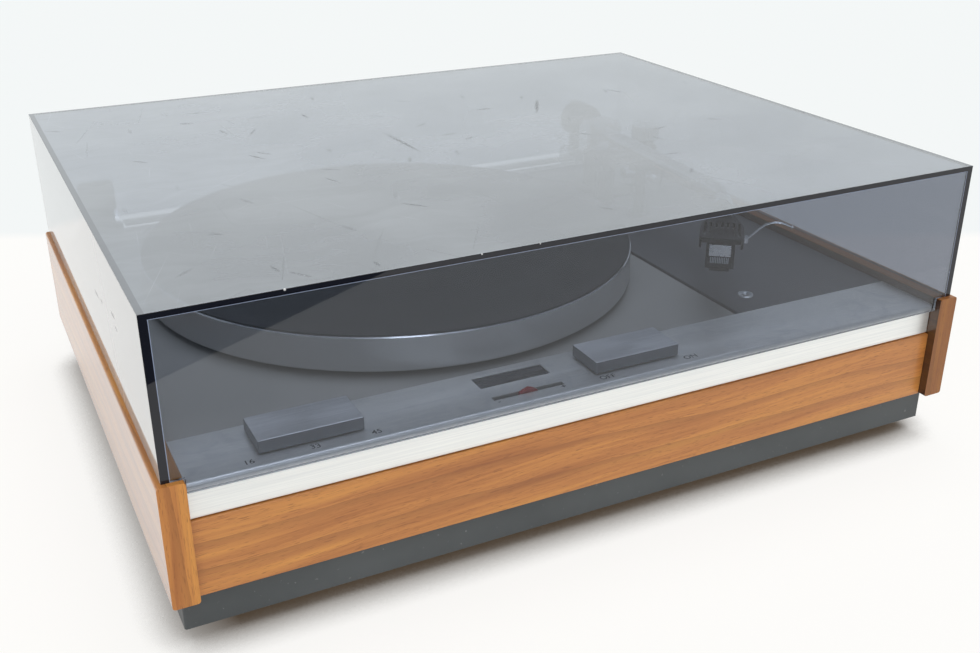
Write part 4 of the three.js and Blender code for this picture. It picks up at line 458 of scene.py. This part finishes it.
def brushedMaterial(name, look):
    length, width = look["line"]
    return surface(name, {"Metallic": look["metallic"], "Anisotropic": 0.3},
                   {"dark": look["dark"], "light": look["light"], "patch": width, "grain": width,
                    "rough": look["rough"], "relief": 0.003, "stretch": (length / width, 1, 1),
                    "strength": 0.3, **look["extra"]})


panelAluminium = brushedMaterial("anodisedAluminiumBrushed", brushed)
knobAluminiumPaintedShade = brushedMaterial("brushedAluminiumKeyPaintedShade", knobFinishPaintedShade)
dialAluminium = brushedMaterial("greyAnodisedAluminiumBrushed", dialFinish)
dress(panelAluminium, "control_panel", bevel=0.15)
dress(greyEnamel, "deck_plate", bevel=0.2)
dress(knobAluminiumPaintedShade, "speed_knob", "power_knob", bevel=0.15)
dress(redPlastic, "pitch_knob", bevel=0.2)
dress(darkWindow, "strobe_window", bevel=0.2)
dress(mirrorGlass, "strobe_mirror")
dress(palePlastic, "strobe_lamp", angle=50)
dress(blackPlastic, "speed_switch", "power_switch", "pitch_potentiometer", bevel=0.3)
dress(brass, "motor_pulley", angle=50)
dress(zincSteel, "motor", "suspension_bolt_left", "suspension_bolt_rear", "suspension_bolt_front", angle=50)
dress(zincSteel, "suspension_spring_left", "suspension_spring_rear", "suspension_spring_front", angle=80)


# Thin steel strip behind the deck, under the cover's rear sheet
rearStrip = {"top": 88.3, "thickness": 1.2, "toCover": 0.8, "toHinge": 1.5, "bevel": 0.2}


def buildRearStrip():
    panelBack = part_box("plinth_rear_panel")[1][1] * 1000.0
    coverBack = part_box("dust_cover")[1][1] * 1000.0
    side = -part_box("hinge_bracket_left")[1][0] * 1000.0 - rearStrip["toHinge"]
    depth = coverBack - rearStrip["toCover"] - panelBack
    thickness = rearStrip["thickness"]
    place = Matrix.Translation((0.0, panelBack + depth / 2, rearStrip["top"] - thickness / 2))
    bevelledBlock("rearClosingStrip", (side * 2, depth, thickness), place, greyEnamel, "plinth",
                  rearStrip["bevel"])


buildRearStrip()
print("deck dressed")


# Plain numbers and signs printed on the panel
labels = {
    "height": 5.2,
    "thickness": 0.03,
    "boldness": 0.03,
    "top": 87.5,
    "depthShift": -191.5,
    "texts": [("16", -189.3, 13.1), ("33", -158.1, 13.1), ("45", -128.0, 13.1), ("OFF", -1.1, 12.9),
              ("ON", 50.9, 13.2), ("-", -63.2, 13.8), ("+", -26.6, 13.7)],
}


def printedLabel(name, text, x, y):
    curve = bpy.data.curves.new(name, "FONT")
    curve.body = text
    curve.size = labels["height"] / 1000.0
    curve.align_x = curve.align_y = "CENTER"
    curve.extrude = labels["thickness"] / 2000.0
    curve.offset = labels["boldness"] / 1000.0
    curve.materials.append(printInk)
    piece = placeObject(name, curve)
    piece.location = metres(x, y + labels["depthShift"], labels["top"] + labels["thickness"] / 2)
    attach(piece, "plinth")


for count, (text, x, y) in enumerate(labels["texts"]):
    printedLabel("panelPrint%d" % count, text, x, y)
print("panel printed")


# Platter: turned aluminium with a grey lacquered rim and a bright turned edge
platter = {
    "centre": (-44.0, 12.0),
    "radius": 150.5,
    "rimWall": 10.0,
    "bottom": 89.7,
    "top": 109.3,
    "webTop": 108.0,
    "webBottom": 104.0,
    "hole": 12.3,
    "edge": 0.6,  # bright chamfer on the rim, and the flat beside it
    "edgeFlat": 0.3,
    "lip": 3.0,
    "rib": (127.0, 131.0, 5.0),  # inner and outer radius and depth of the rib under the web
    "soft": 0.4,
    "fillet": 0.6,
    "underEdge": 0.25,
    "light": "#CBCCCB",
    "dark": "#BCBDBC",
    "bright": "#F2F3F4",
}
rings = {"noiseRoughness": 0.7, "patch": 25.0, "strength": 0.6}


def ringMaterial(name, settings, look):
    # rings about the spindle, cut by the lathe or pressed in the mat
    material, tree, shader = startMaterial(name, settings)
    where = addNode(tree, "TexCoord").outputs["Object"]
    at = addNode(tree, "SeparateXYZ", links={"Vector": where})
    axisShift = tuple(-value for value in metres(*platter["centre"])) + (0.0,)
    centred = addNode(tree, "VectorMath", {"operation": "ADD", 1: axisShift}, {0: where})
    flat = addNode(tree, "VectorMath", {"operation": "MULTIPLY", 1: (1.0, 1.0, 0.0)}, {0: centred})
    radius = addNode(tree, "VectorMath", {"operation": "LENGTH"}, {0: flat})
    ringLine = addNode(tree, "CombineXYZ", links={"X": radius.outputs["Value"], "Z": at.outputs["Z"]})
    fine = addNode(tree, "TexNoise", {"Scale": perMetre(look["line"]), "Detail": look["detail"],
                                      "Roughness": rings["noiseRoughness"]}, {"Vector": ringLine})
    ribs = addNode(tree, "TexWave", {"wave_type": "BANDS", "bands_direction": "X",
                                     "Scale": math.pi * 100.0 / look["rib"]}, {"Vector": ringLine})
    height = addNode(tree, "Mix", {"data_type": "FLOAT", 0: look["ribShare"]},
                     {2: fine, 3: ribs.outputs["Fac"]})
    colour = addNode(tree, "Mix", {"data_type": "RGBA", 6: linearColour(look["dark"]),
                                   7: linearColour(look["light"])}, {0: fine}).outputs[2]
    patch = addNode(tree, "TexNoise", {"Scale": perMetre(rings["patch"]), "Detail": 3.0}, {"Vector": where})
    low, high = look["rough"]
    rough = addNode(tree, "MapRange", {**finish["gloss"], "To Min": low, "To Max": high}, {"Value": patch})
    bump = addNode(tree, "Bump", {"Strength": rings["strength"], "Distance": look["relief"] / 1000.0},
                   {"Height": height})
    linkInputs(tree, shader, {"Base Color": colour, "Roughness": rough, "Normal": bump})
    return material


# Lacquer on aluminium, turned then sprayed: soft grey with faint rings
platterMetal = ringMaterial("greyLacquerOnTurnedAluminium", {"Metallic": 0.35, "Anisotropic": 0.3},
                            {"dark": platter["dark"], "light": platter["light"], "line": 0.6, "detail": 3.0,
                             "rib": 3.0, "ribShare": 0.1, "rough": (0.3, 0.42), "relief": 0.01})
# Aluminium, turned bright: a thin line that catches the light
edgeMetal = ringMaterial("brightAluminiumTurned", metalShader,
                         {"dark": "#C9CCCE", "light": platter["bright"], "line": 0.5, "detail": 3.0, "rib": 3.0,
                          "ribShare": 0.0, "rough": (0.1, 0.17), "relief": 0.004})
# Rubber mat, pressed with fine ribs: dull dark grey
matRubber = ringMaterial("greyRubberPressed", {"IOR": 1.52, "Specular IOR Level": 0.35},
                         {"dark": "#3D4043", "light": "#474A4C", "line": 6.0, "detail": 0.0, "rib": 5.0,
                          "ribShare": 0.85, "rough": (0.55, 0.7), "relief": 0.015})


def buildPlatter():
    outer, low, high = platter["radius"], platter["bottom"], platter["top"]
    inner, edge, soft = outer - platter["rimWall"], platter["edge"], platter["soft"]
    hole, webTop, webBottom = platter["hole"], platter["webTop"], platter["webBottom"]
    fillet, under, flat = platter["fillet"], platter["underEdge"], outer - edge - platter["edgeFlat"]
    ribInner, ribOuter, ribDepth = platter["rib"]
    ribBottom, lip = webBottom - ribDepth, outer - platter["lip"]
    profile = [(hole, webBottom), (ribInner, webBottom), (ribInner, ribBottom + soft),
               (ribInner + soft, ribBottom), (ribOuter - soft, ribBottom), (ribOuter, ribBottom + soft),
               (ribOuter, webBottom), (inner - fillet, webBottom), (inner, webBottom - fillet),
               (inner, low + soft), (inner + soft, low), (outer - edge, low), (outer - under, low + under),
               (outer, low + edge), (outer, high - edge)]
    turned("platterRing", profile, platter["centre"], platterMetal, "platter", ("outer_platter",))
    bright = [(outer, high - edge), (outer - edge, high), (flat, high)]
    turned("platterEdge", bright, platter["centre"], edgeMetal, "platter")
    floorProfile = [(flat, high), (lip, high), (lip, webTop), (hole, webTop), (hole, webBottom)]
    turned("platterWeb", floorProfile, platter["centre"], platterMetal, "platter")


# The mat lies in the platter and its rim covers the platter's, up to the bright edge
mat = {"edge": 147.0, "rim": 149.85, "rimBottom": 109.34, "hole": 4.05, "bottom": 108.02, "top": 110.5,
       "label": 51.0, "labelSlope": 0.3, "sunk": 0.8, "round": 0.4, "roundShare": 0.3}


def buildMat():
    top, sunk = mat["top"], mat["top"] - mat["sunk"]
    rim, rounding, hole = mat["rim"], mat["round"], mat["hole"]
    bulge = rounding * mat["roundShare"]
    profile = [(hole, mat["bottom"]), (mat["edge"], mat["bottom"]), (mat["edge"], mat["rimBottom"]),
               (rim, mat["rimBottom"]), (rim, top - rounding), (rim - bulge, top - bulge),
               (rim - rounding, top), (mat["label"] + mat["labelSlope"], top), (mat["label"], sunk),
               (hole, sunk), (hole, mat["bottom"])]
    turned("platterRubber", profile, platter["centre"], matRubber, "platter", ("platter_mat",))


buildPlatter()
buildMat()
dress(castAluminium, "inner_platter", "inner_frame", angle=50)
dress(zincSteel, "bearing_housing", angle=50)
dress(blackRubber, "drive_belt", angle=50)
print("platter built")


# Black lacquer on board, sprayed: satin, coloured grey all over as painted light, lighter than its black to
# stand in for the light that falls on it
armboardPaintedLight = surface("blackLacquerOnBoardPaintedLight", lacquerShader,
                        {"dark": "#5B5E62", "light": "#65686B", "patch": 30, "grain": 0.9,
                         "rough": (0.45, 0.55), "relief": 0.02})
# Chrome on steel, satin: bright with a soft sheen
armSteel = surface("satinChromeTube", metalShader,
                   {"dark": "#B9BCBE", "light": "#CDD0D2", "patch": 16, "grain": 1.0,
                    "rough": (0.16, 0.26), "relief": 0.004})
dress(armboardPaintedLight, "armboard", bevel=0.5)
dress(chrome, "armboard_eyelet", angle=50)
dress(chrome, "finger_lift", angle=60)
dress(blackSteel, "arm_base", "cue_platform", "counterweight", angle=50)
dress(armSteel, "cue_lever", "arm_yoke", "arm_tube", angle=50)
dress(dialAluminium, "antiskate_dial", angle=20)
dress(blackPlastic, "arm_rest", "cartridge", bevel=0.3)
dress(blackPlastic, "headshell", bevel=0.2)
dress(blackPlastic, "stylus", angle=50)


# Plain bright plate and ribbed grip on the cartridge's face
faceplate = {
    "stylus": (98.45, -136.06, 134.0),  # the head's origin, over the stylus
    "turn": -38.5,
    "slant": -4.46,
    "plate": (12.0, 0.5, 6.6),
    "plateAt": (-0.2, -6.05, -6.4),
    "grip": (10.6, 0.9, 3.4),
    "gripAt": (-0.2, -6.6, -12.0),
    "ribs": 11,
    "ribShare": 0.62,
    "bevel": 0.12,
}
# Aluminium, stamped and lacquered: bright with a fine grain
bareAluminium = surface("aluminiumStamped", metalShader,
                        {"dark": "#D5D8DA", "light": "#E6E8E9", "patch": 4, "grain": 0.5,
                         "rough": (0.24, 0.36), "relief": 0.004})


def headPlace(at):
    return (Matrix.Translation(faceplate["stylus"]) @ Matrix.Rotation(math.radians(faceplate["turn"]), 4, "Z")
            @ Matrix.Translation(at) @ Matrix.Rotation(math.radians(faceplate["slant"]), 4, "X"))


def buildFaceplate():
    bevelledBlock("cartridgePlate", faceplate["plate"], headPlace(faceplate["plateAt"]), bareAluminium,
                  "arm", faceplate["bevel"])
    length, depth, height = faceplate["grip"]
    x, y, z = faceplate["gripAt"]
    pitch = length / faceplate["ribs"]
    size = (pitch * faceplate["ribShare"], depth, height)
    for rib in range(faceplate["ribs"]):
        place = headPlace((x + (rib - (faceplate["ribs"] - 1) / 2) * pitch, y, z))
        bevelledBlock("cartridgeGrip%d" % rib, size, place, palePlastic, "arm", faceplate["bevel"])


buildFaceplate()
print("arm dressed")


# Smoked acrylic, cast and bonded: clear blue grey with a dusty film, wiping marks and scuffs on top,
# painted shade, nearly black, where a sheet is seen along its edge, with a pale line of cement beside it
smoke = {
    "colour": (0.381, 0.4215, 0.499),
    "density": 380.0,
    "rough": 0.015,
    "top": 171.1,
    "front": -188.6,
    "rear": 177.0,
    "halfWidth": 229.8,
    "sheet": 3.0,
    "topSkin": 0.4,  # how near a point has to be to the top or front to count as on it
    "frontSkin": 0.2,
    "film": (0.262, 0.332),  # least and most of the dust on top
    "filmSlope": -0.19,  # more dust to the left, for each metre
    "filmColour": "#D3D9E0",
    "clouds": {"Scale": perMetre(70), "Detail": 3.0, "Roughness": 0.5},
    "cloudBend": 0.08,
    "wiped": 0.22,
    "wipe": (140.0, 7.0, 60.0, 35.0),  # length, width and depth in mm, and turn in degrees
    "wipeNoise": {"Scale": 1.0, "Detail": 4.0, "Roughness": 0.6},
    "dust": {"From Min": 0.38, "From Max": 0.62},
    "wallHazeAndSheen": 0.9,  # haze on the walls where they are seen at a low angle, with painted sheen
    "topHazeAndSheen": 0.3,  # the same haze and painted sheen on the top, over its dust
    "hazeFall": 4.0,
    "seam": "#868A90",
    "seamStrength": 0.45,
    # painted shade where the other sheets are seen end on
    "edge": "#14161F",
    "edgeShadeWidths": (3.8, 2.7),  # width of the painted edge shade at the upright corners and under the top
    "cement": "#8690A6",
    "cementWidth": 0.1,  # share of the band
    "scuff": "#3A3D42",
    "scuffStrength": 0.7,
    "scuffRough": 0.5,
    "scuffDepth": 2.0,
    "rubbing": {"Scale": perMetre(3), "Detail": 3.0, "Roughness": 0.7},
    "rubbed": {"From Min": 0.3, "From Max": 0.52, "To Min": 0.25},
    # fields of strokes: cell and size in mm, share of the cells, shift
    "smallScuffs": (32, (14, 2.8), 0.45, 3.1),
    "smallStrength": 0.6,
    "hairlines": (44, (62, 1.1), 0.7, 11.3),
    "hairStrength": 0.3,
    "paleShort": (26, (24, 0.5), 0.6, 8.7),
    "paleLong": (60, (70, 0.45), 0.5, 5.2),
    "paleStrength": 0.07,
    "chip": "#FFFFFF",
    "strokeFade": {"From Min": 0.35, "From Max": 1.0, "To Min": 1.0, "To Max": 0.0},
    "markFade": {"From Min": 0.3, "From Max": 1.0, "To Min": 1.0, "To Max": 0.0},
    # long marks that can be told apart: middle, length and width in mm, and turn in degrees
    "scuffs": [(-37, 2, 58, 3.0, -86), (-77, -111, 17, 2.4, -48), (-69, 90, 15, 2.4, -85),
               (-124, 10, 16, 2.2, -63), (-118, 16, 13, 1.8, -50), (-127, 74, 14, 1.8, -80),
               (-110, 67, 16, 2.0, 60), (-143, 105, 10, 3.4, -20), (3, -8, 9, 2.6, 27),
               (44, 54, 15, 3.4, 0), (79, 45, 48, 3.2, 61), (-166, -165, 11, 1.8, -79),
               (-158, -176, 14, 1.8, -57), (-124, -179, 8, 2.0, -85), (-100, -52, 15, 1.6, -70),
               (-178, -109, 8, 2.6, -32), (120, -40, 16, 2.0, 20), (150, 60, 18, 2.2, -60)],
    # knocks through the polish: place in mm and size along x, y and z
    "nicks": [((-229.8, -60, 132), (1, 16, 2.2)), ((-229.8, -76, 134), (1, 10, 1.4)),
              ((-229.8, -112, 141), (1, 12, 2.6)), ((-229.8, -117, 136), (1, 8, 1.6))],
    "chips": [((-169, -188.3, 170.8), (1.6, 1.6, 1.6)), ((-77, -188.3, 170.8), (1.2, 1.2, 1.2)),
              ((-47, -188.3, 170.8), (1.0, 1.0, 1.0))],
}


def strokeField(tree, where, cell, size, share, seed):
    # one stroke in each cell of a grid, at a random place and turn; share is how many cells have one
    scaled = addNode(tree, "Mapping", {"Location": (seed, seed * 0.7, 0.0),
                                       "Scale": (perMetre(cell), perMetre(cell), 0.0)}, {"Vector": where})
    cells = addNode(tree, "TexVoronoi", {"voronoi_dimensions": "2D", "Scale": 1.0}, {"Vector": scaled})
    local = addNode(tree, "VectorMath", {"operation": "SUBTRACT"}, {0: scaled, 1: cells.outputs["Position"]})
    random = addNode(tree, "SeparateColor", links={"Color": cells.outputs["Color"]}).outputs
    turn = addNode(tree, "Math", {"operation": "MULTIPLY", 1: math.pi}, {0: random[0]})
    aligned = addNode(tree, "VectorRotate", {"rotation_type": "Z_AXIS"}, {"Vector": local, "Angle": turn})
    slimness = tuple(2.0 * cell / part for part in size) + (0.0,)
    slim = addNode(tree, "VectorMath", {"operation": "MULTIPLY", 1: slimness}, {0: aligned})
    reach = addNode(tree, "VectorMath", {"operation": "LENGTH"}, {0: slim}).outputs["Value"]
    stroke = addNode(tree, "MapRange", smoke["strokeFade"], {"Value": reach})
    chosen = addNode(tree, "Math", {"operation": "LESS_THAN", 1: share}, {0: random[1]})
    faded = addNode(tree, "Math", {"operation": "MULTIPLY"}, {0: chosen, 1: random[2]})
    return addNode(tree, "Math", {"operation": "MULTIPLY"}, {0: stroke, 1: faded})


def markField(tree, where, marks):
    # a soft spot for each mark: its place and size in mm, and its turn about the upright axis
    total = None
    for place, size, angle in marks:
        local = addNode(tree, "Mapping", {"vector_type": "TEXTURE", "Location": metres(*place),
                                          "Rotation": (0, 0, math.radians(angle)),
                                          "Scale": metres(*(part / 2 for part in size))}, {"Vector": where})
        reach = addNode(tree, "VectorMath", {"operation": "LENGTH"}, {0: local}).outputs["Value"]
        spot = addNode(tree, "MapRange", smoke["markFade"], {"Value": reach})
        total = spot if total is None else addNode(tree, "Math", {"operation": "MAXIMUM"}, {0: total, 1: spot})
    return total


def smokeMaterial():
    material, tree, shader = startMaterial("smokedAcrylicPolished", {"IOR": 1.49})
    where = addNode(tree, "TexCoord").outputs["Object"]
    at = addNode(tree, "SeparateXYZ", links={"Vector": where})
    sizes = ("top", "front", "rear", "halfWidth", "sheet", "topSkin", "frontSkin")
    top, front, rear, half, sheet, topSkin, frontSkin = metres(*(smoke[key] for key in sizes))
    isTop = addNode(tree, "Math", {"operation": "GREATER_THAN", 1: top - topSkin}, {0: at.outputs["Z"]})
    sideways = addNode(tree, "Math", {"operation": "ABSOLUTE"}, {0: at.outputs["X"]})
    toSide = addNode(tree, "Math", {"operation": "SUBTRACT", 0: half}, {1: sideways})
    nearSide = addNode(tree, "Math", {"operation": "LESS_THAN", 1: sheet}, {0: toSide})
    nearRear = addNode(tree, "Math", {"operation": "GREATER_THAN", 1: rear - sheet}, {0: at.outputs["Y"]})
    nearEdge = addNode(tree, "Math", {"operation": "MAXIMUM"}, {0: nearSide, 1: nearRear})
    overSeam = addNode(tree, "Math", {"operation": "MULTIPLY"}, {0: isTop, 1: nearEdge})

    # on the front face: painted shade for the dark ends of the other sheets, then the line of cement
    sideBand, topBand = metres(*smoke["edgeShadeWidths"])
    isFront = addNode(tree, "Math", {"operation": "LESS_THAN", 1: front + frontSkin}, {0: at.outputs["Y"]})
    sideShare = addNode(tree, "Math", {"operation": "DIVIDE", 1: sideBand}, {0: toSide})
    toTop = addNode(tree, "Math", {"operation": "SUBTRACT", 0: top}, {1: at.outputs["Z"]})
    topShare = addNode(tree, "Math", {"operation": "DIVIDE", 1: topBand}, {0: toTop})
    edgeShare = addNode(tree, "Math", {"operation": "MINIMUM"}, {0: sideShare, 1: topShare})

    def frontWithin(limit):
        inside = addNode(tree, "Math", {"operation": "LESS_THAN", 1: limit}, {0: edgeShare})
        return addNode(tree, "Math", {"operation": "MULTIPLY"}, {0: isFront, 1: inside})

    framed, edgeShadeBand = frontWithin(1.0 + smoke["cementWidth"]), frontWithin(1.0)

    # dust: soft clouds, drawn out by wiping with a cloth
    clouds = addNode(tree, "TexNoise", smoke["clouds"], {"Vector": where})
    bend = smoke["cloudBend"]
    bent = addNode(tree, "VectorMath", {"operation": "MULTIPLY_ADD", 1: (bend, bend, 0.0)},
                   {0: clouds.outputs["Color"], 2: where})
    *wipe, turn = smoke["wipe"]
    swirl = addNode(tree, "Mapping", {"Rotation": (0, 0, math.radians(turn)),
                                      "Scale": tuple(perMetre(size) for size in wipe)}, {"Vector": bent})
    wiped = addNode(tree, "TexNoise", smoke["wipeNoise"], {"Vector": swirl})
    mixed = addNode(tree, "Mix", {"data_type": "FLOAT", 0: smoke["wiped"]}, {2: clouds, 3: wiped})
    least, most = smoke["film"]
    dust = addNode(tree, "MapRange", {**smoke["dust"], "To Min": least, "To Max": most}, {"Value": mixed})
    uneven = addNode(tree, "Math", {"operation": "MULTIPLY_ADD", 1: smoke["filmSlope"]},
                     {0: at.outputs["X"], 2: dust})
    topFilm = addNode(tree, "Math", {"operation": "MULTIPLY"}, {0: uneven, 1: isTop})
    # painted sheen with haze: a face seen at a low angle turns paler
    glance = addNode(tree, "LayerWeight").outputs["Facing"]
    steep = addNode(tree, "Math", {"operation": "POWER", 1: smoke["hazeFall"]}, {0: glance})
    hazeAndSheen = addNode(tree, "Mix", {"data_type": "FLOAT", 2: smoke["wallHazeAndSheen"], 3: smoke["topHazeAndSheen"]}, {0: isTop})
    film = addNode(tree, "Math", {"operation": "MULTIPLY_ADD"}, {0: steep, 1: hazeAndSheen, 2: topFilm})

    # dark scuffs, broken up as rubbed marks are, and fine pale scratches
    long = [((x, y, smoke["top"]), (length, width, smoke["scuffDepth"]), turn)
            for x, y, length, width, turn in smoke["scuffs"]]
    nicks, chips = [[(place, size, 0) for place, size in smoke[key]] for key in ("nicks", "chips")]
    rubbed = markField(tree, where, long)
    for key, strength in (("smallScuffs", "smallStrength"), ("hairlines", "hairStrength")):
        strokes = addNode(tree, "Math", {"operation": "MULTIPLY", 1: smoke[strength]},
                          {0: strokeField(tree, where, *smoke[key])})
        rubbed = addNode(tree, "Math", {"operation": "MAXIMUM"}, {0: rubbed, 1: strokes})
    topMarks = addNode(tree, "Math", {"operation": "MULTIPLY"}, {0: rubbed, 1: isTop})
    broken = addNode(tree, "TexNoise", smoke["rubbing"], {"Vector": where})
    worn = addNode(tree, "MapRange", smoke["rubbed"], {"Value": broken})
    texture = addNode(tree, "Math", {"operation": "MULTIPLY"}, {0: topMarks, 1: worn})
    knocked = addNode(tree, "Math", {"operation": "MAXIMUM"}, {0: texture, 1: markField(tree, where, nicks)})
    dark = addNode(tree, "Math", {"operation": "MULTIPLY", 1: smoke["scuffStrength"]}, {0: knocked})
    scratches = addNode(tree, "Math", {"operation": "MAXIMUM"},
                        {0: strokeField(tree, where, *smoke["paleShort"]),
                         1: strokeField(tree, where, *smoke["paleLong"])})
    onTop = addNode(tree, "Math", {"operation": "MULTIPLY"}, {0: scratches, 1: isTop})
    pale = addNode(tree, "Math", {"operation": "MULTIPLY", 1: smoke["paleStrength"]}, {0: onTop})
    chipped = markField(tree, where, chips)

    # how much of the light each of these stops, and its colour
    cloudy = addNode(tree, "Math", {"operation": "ADD"}, {0: film, 1: pale})
    solid = addNode(tree, "Math", {"operation": "MULTIPLY_ADD", 1: smoke["seamStrength"]},
                    {0: overSeam, 2: cloudy})
    for mask in (dark, framed, chipped):
        solid = addNode(tree, "Math", {"operation": "MAXIMUM"}, {0: solid, 1: mask})
    clear = addNode(tree, "Math", {"operation": "SUBTRACT", 0: 1.0, "use_clamp": True}, {1: solid})
    colour = addNode(tree, "Mix", {"data_type": "RGBA", 6: (1.0, 1.0, 1.0, 1.0),
                                   7: linearColour(smoke["filmColour"])}, {0: isTop}).outputs[2]
    for mask, key in ((overSeam, "seam"), (dark, "scuff"), (framed, "cement"), (edgeShadeBand, "edge"),
                      (chipped, "chip")):
        colour = addNode(tree, "Mix", {"data_type": "RGBA", 7: linearColour(smoke[key])},
                         {0: mask, 6: colour}).outputs[2]
    rough = addNode(tree, "MapRange", {"To Min": smoke["rough"], "To Max": smoke["scuffRough"]},
                    {"Value": dark})
    linkInputs(tree, shader, {"Roughness": rough, "Transmission Weight": clear, "Base Color": colour})

    # lamps and soft light pass straight through, dimmed by the tint, so that the deck is lit
    passing = addNode(tree, "BsdfTransparent")
    path = addNode(tree, "LightPath")
    straight = addNode(tree, "Math", {"operation": "MAXIMUM"},
                       {0: path.outputs["Is Shadow Ray"], 1: path.outputs["Is Diffuse Ray"]})
    joined = addNode(tree, "MixShader", links={0: straight, 1: shader, 2: passing})
    tint = addNode(tree, "VolumeAbsorption", {"Color": (*smoke["colour"], 1.0), "Density": smoke["density"]})
    linkInputs(tree, tree.nodes["output"], {"Surface": joined, "Volume": tint})
    return material


dress(smokeMaterial(), "dust_cover", bevel=0.25)
dress(zincSteel, "hinge_leaf_left", "hinge_leaf_right", "hinge_bracket_left", "hinge_bracket_right", angle=50)
print("cover dressed")


# White studio: a pale floor, an even sky, two broad lights, a weak narrow one and a dark card that is a painted
# reflection
studio = {
    "floorSize": 9.0,
    "floor": "#FCFBF9",
    "backdrop": "#F2F5F5",
    "backdropLine": (0.4465, 0.8948, 0.285),  # the shares of x and y, and the distance in metres
    "backdropBlur": 0.02,
    "sky": (0.91, 0.947, 0.94, 1.0),
    "floorGlow": 0.85,  # share of plain white that the camera sees in the floor, so that it stays pale
    "contact": 0.03,  # reach in metres of the deep shade under the object
    "contactColour": "#4A3C2C",
    "contactSpan": {"From Min": 0.38, "From Max": 0.86},
    # the shade is weaker to the left, where the real floor is lit
    "litSide": {"From Min": -0.25, "From Max": -0.2, "To Min": 0.6, "To Max": 0.0},
    "ambient": 0.42,
    "suns": {
        "keyLight": {"from": (-0.15, -0.95, 0.9), "power": 0.82, "spread": 60},
        "windowLight": {"from": (-0.06, -0.42, 0.905), "power": 0.3, "spread": 14},
        "overheadLight": {"from": (0.1, 0.12, 1.0), "power": 1.5, "spread": 34},
    },
    "reflectionCardColour": "#0C0E16",
    "cardHeight": 0.002,
    "card": [(-1.9, 0.463), (1.1, -1.17), (1.1, -3.0), (-1.9, -3.0)],
}


def shownDirectly(tree):
    # 1 for what the camera, mirrors and glass see, 0 for the light that falls on other surfaces
    path = addNode(tree, "LightPath")
    seen = addNode(tree, "Math", {"operation": "MAXIMUM"},
                   {0: path.outputs["Is Camera Ray"], 1: path.outputs["Is Glossy Ray"]})
    return addNode(tree, "Math", {"operation": "MAXIMUM"}, {0: seen, 1: path.outputs["Is Transmission Ray"]})


def buildFloor():
    mesh = bpy.data.meshes.new("studioFloor")
    half = studio["floorSize"] / 2
    mesh.from_pydata([(-half, -half, 0), (half, -half, 0), (half, half, 0), (-half, half, 0)], [],
                     [(0, 1, 2, 3)])
    # Laminate, pressed: white and nearly matt
    material, tree, shader = startMaterial("whiteLaminateFloor", {"Roughness": 0.5, "IOR": 1.45,
                                                                  "Specular IOR Level": 0.2})
    at = addNode(tree, "SeparateXYZ", links={"Vector": addNode(tree, "TexCoord").outputs["Object"]})
    a, b, level = studio["backdropLine"]
    alongX = addNode(tree, "Math", {"operation": "MULTIPLY", 1: a}, {0: at.outputs["X"]})
    away = addNode(tree, "Math", {"operation": "MULTIPLY_ADD", 1: b}, {0: at.outputs["Y"], 2: alongX})
    behind = addNode(tree, "MapRange", {"From Min": level, "From Max": level + studio["backdropBlur"]},
                     {"Value": away})
    colour = addNode(tree, "Mix", {"data_type": "RGBA", 6: linearColour(studio["floor"]),
                                   7: linearColour(studio["backdrop"])}, {0: behind}).outputs[2]
    linkInputs(tree, shader, {"Base Color": colour})
    share = addNode(tree, "Math", {"operation": "MULTIPLY", 1: studio["floorGlow"]}, {0: shownDirectly(tree)})
    # the shade close under the object, which the plain white share would wash out
    shade = addNode(tree, "AmbientOcclusion", {"Distance": studio["contact"], "samples": 8})
    depth = addNode(tree, "MapRange", studio["contactSpan"], {"Value": shade.outputs["AO"]})
    lit = addNode(tree, "MapRange", studio["litSide"], {"Value": at.outputs["X"]})
    pale = addNode(tree, "Math", {"operation": "MAXIMUM"}, {0: depth, 1: lit})
    shaded = addNode(tree, "Mix", {"data_type": "RGBA", 6: linearColour(studio["contactColour"])},
                     {0: pale, 7: colour}).outputs[2]
    glow = addNode(tree, "Emission", links={"Color": shaded})
    mixed = addNode(tree, "MixShader", links={0: share, 1: shader, 2: glow})
    linkInputs(tree, tree.nodes["output"], {"Surface": mixed})
    mesh.materials.append(material)
    floor = placeObject("studioFloor", mesh)


def buildReflectionCard():
    # A dark matt card flat on the floor before the object, seen only in its polished faces: a painted dark
    # reflection that casts no shadow
    mesh = bpy.data.meshes.new("paintedReflectionCard")
    mesh.from_pydata([(x, y, studio["cardHeight"]) for x, y in studio["card"]], [], [(0, 3, 2, 1)])
    mesh.materials.append(startMaterial("paintedReflectionCardBlack", {"Base Color": linearColour(studio["reflectionCardColour"]),
                                                           "Roughness": 0.9})[0])
    card = placeObject("paintedReflectionCard", mesh)
    card.visible_camera = card.visible_diffuse = card.visible_shadow = card.visible_transmission = False


def buildSky():
    world = bpy.data.worlds.new("studioSky")
    bpy.context.scene.world = world
    world.use_nodes = True
    tree = world.node_tree
    tree.nodes.clear()
    strength = addNode(tree, "MapRange", {"To Min": studio["ambient"]}, {"Value": shownDirectly(tree)})
    light = addNode(tree, "Background", {"Color": studio["sky"]}, {"Strength": strength})
    addNode(tree, "OutputWorld", links={"Surface": light})


def buildLamps():
    for name, lamp in studio["suns"].items():
        light = bpy.data.lights.new(name, "SUN")
        light.energy = lamp["power"]
        light.angle = math.radians(lamp["spread"])
        holder = placeObject(name, light)
        holder.rotation_mode = "QUATERNION"
        holder.rotation_quaternion = (-Vector(lamp["from"])).to_track_quat("-Z", "Y")


buildFloor()
buildReflectionCard()
buildSky()
buildLamps()
bpy.context.scene.view_settings.view_transform = "Standard"
print("studio built")
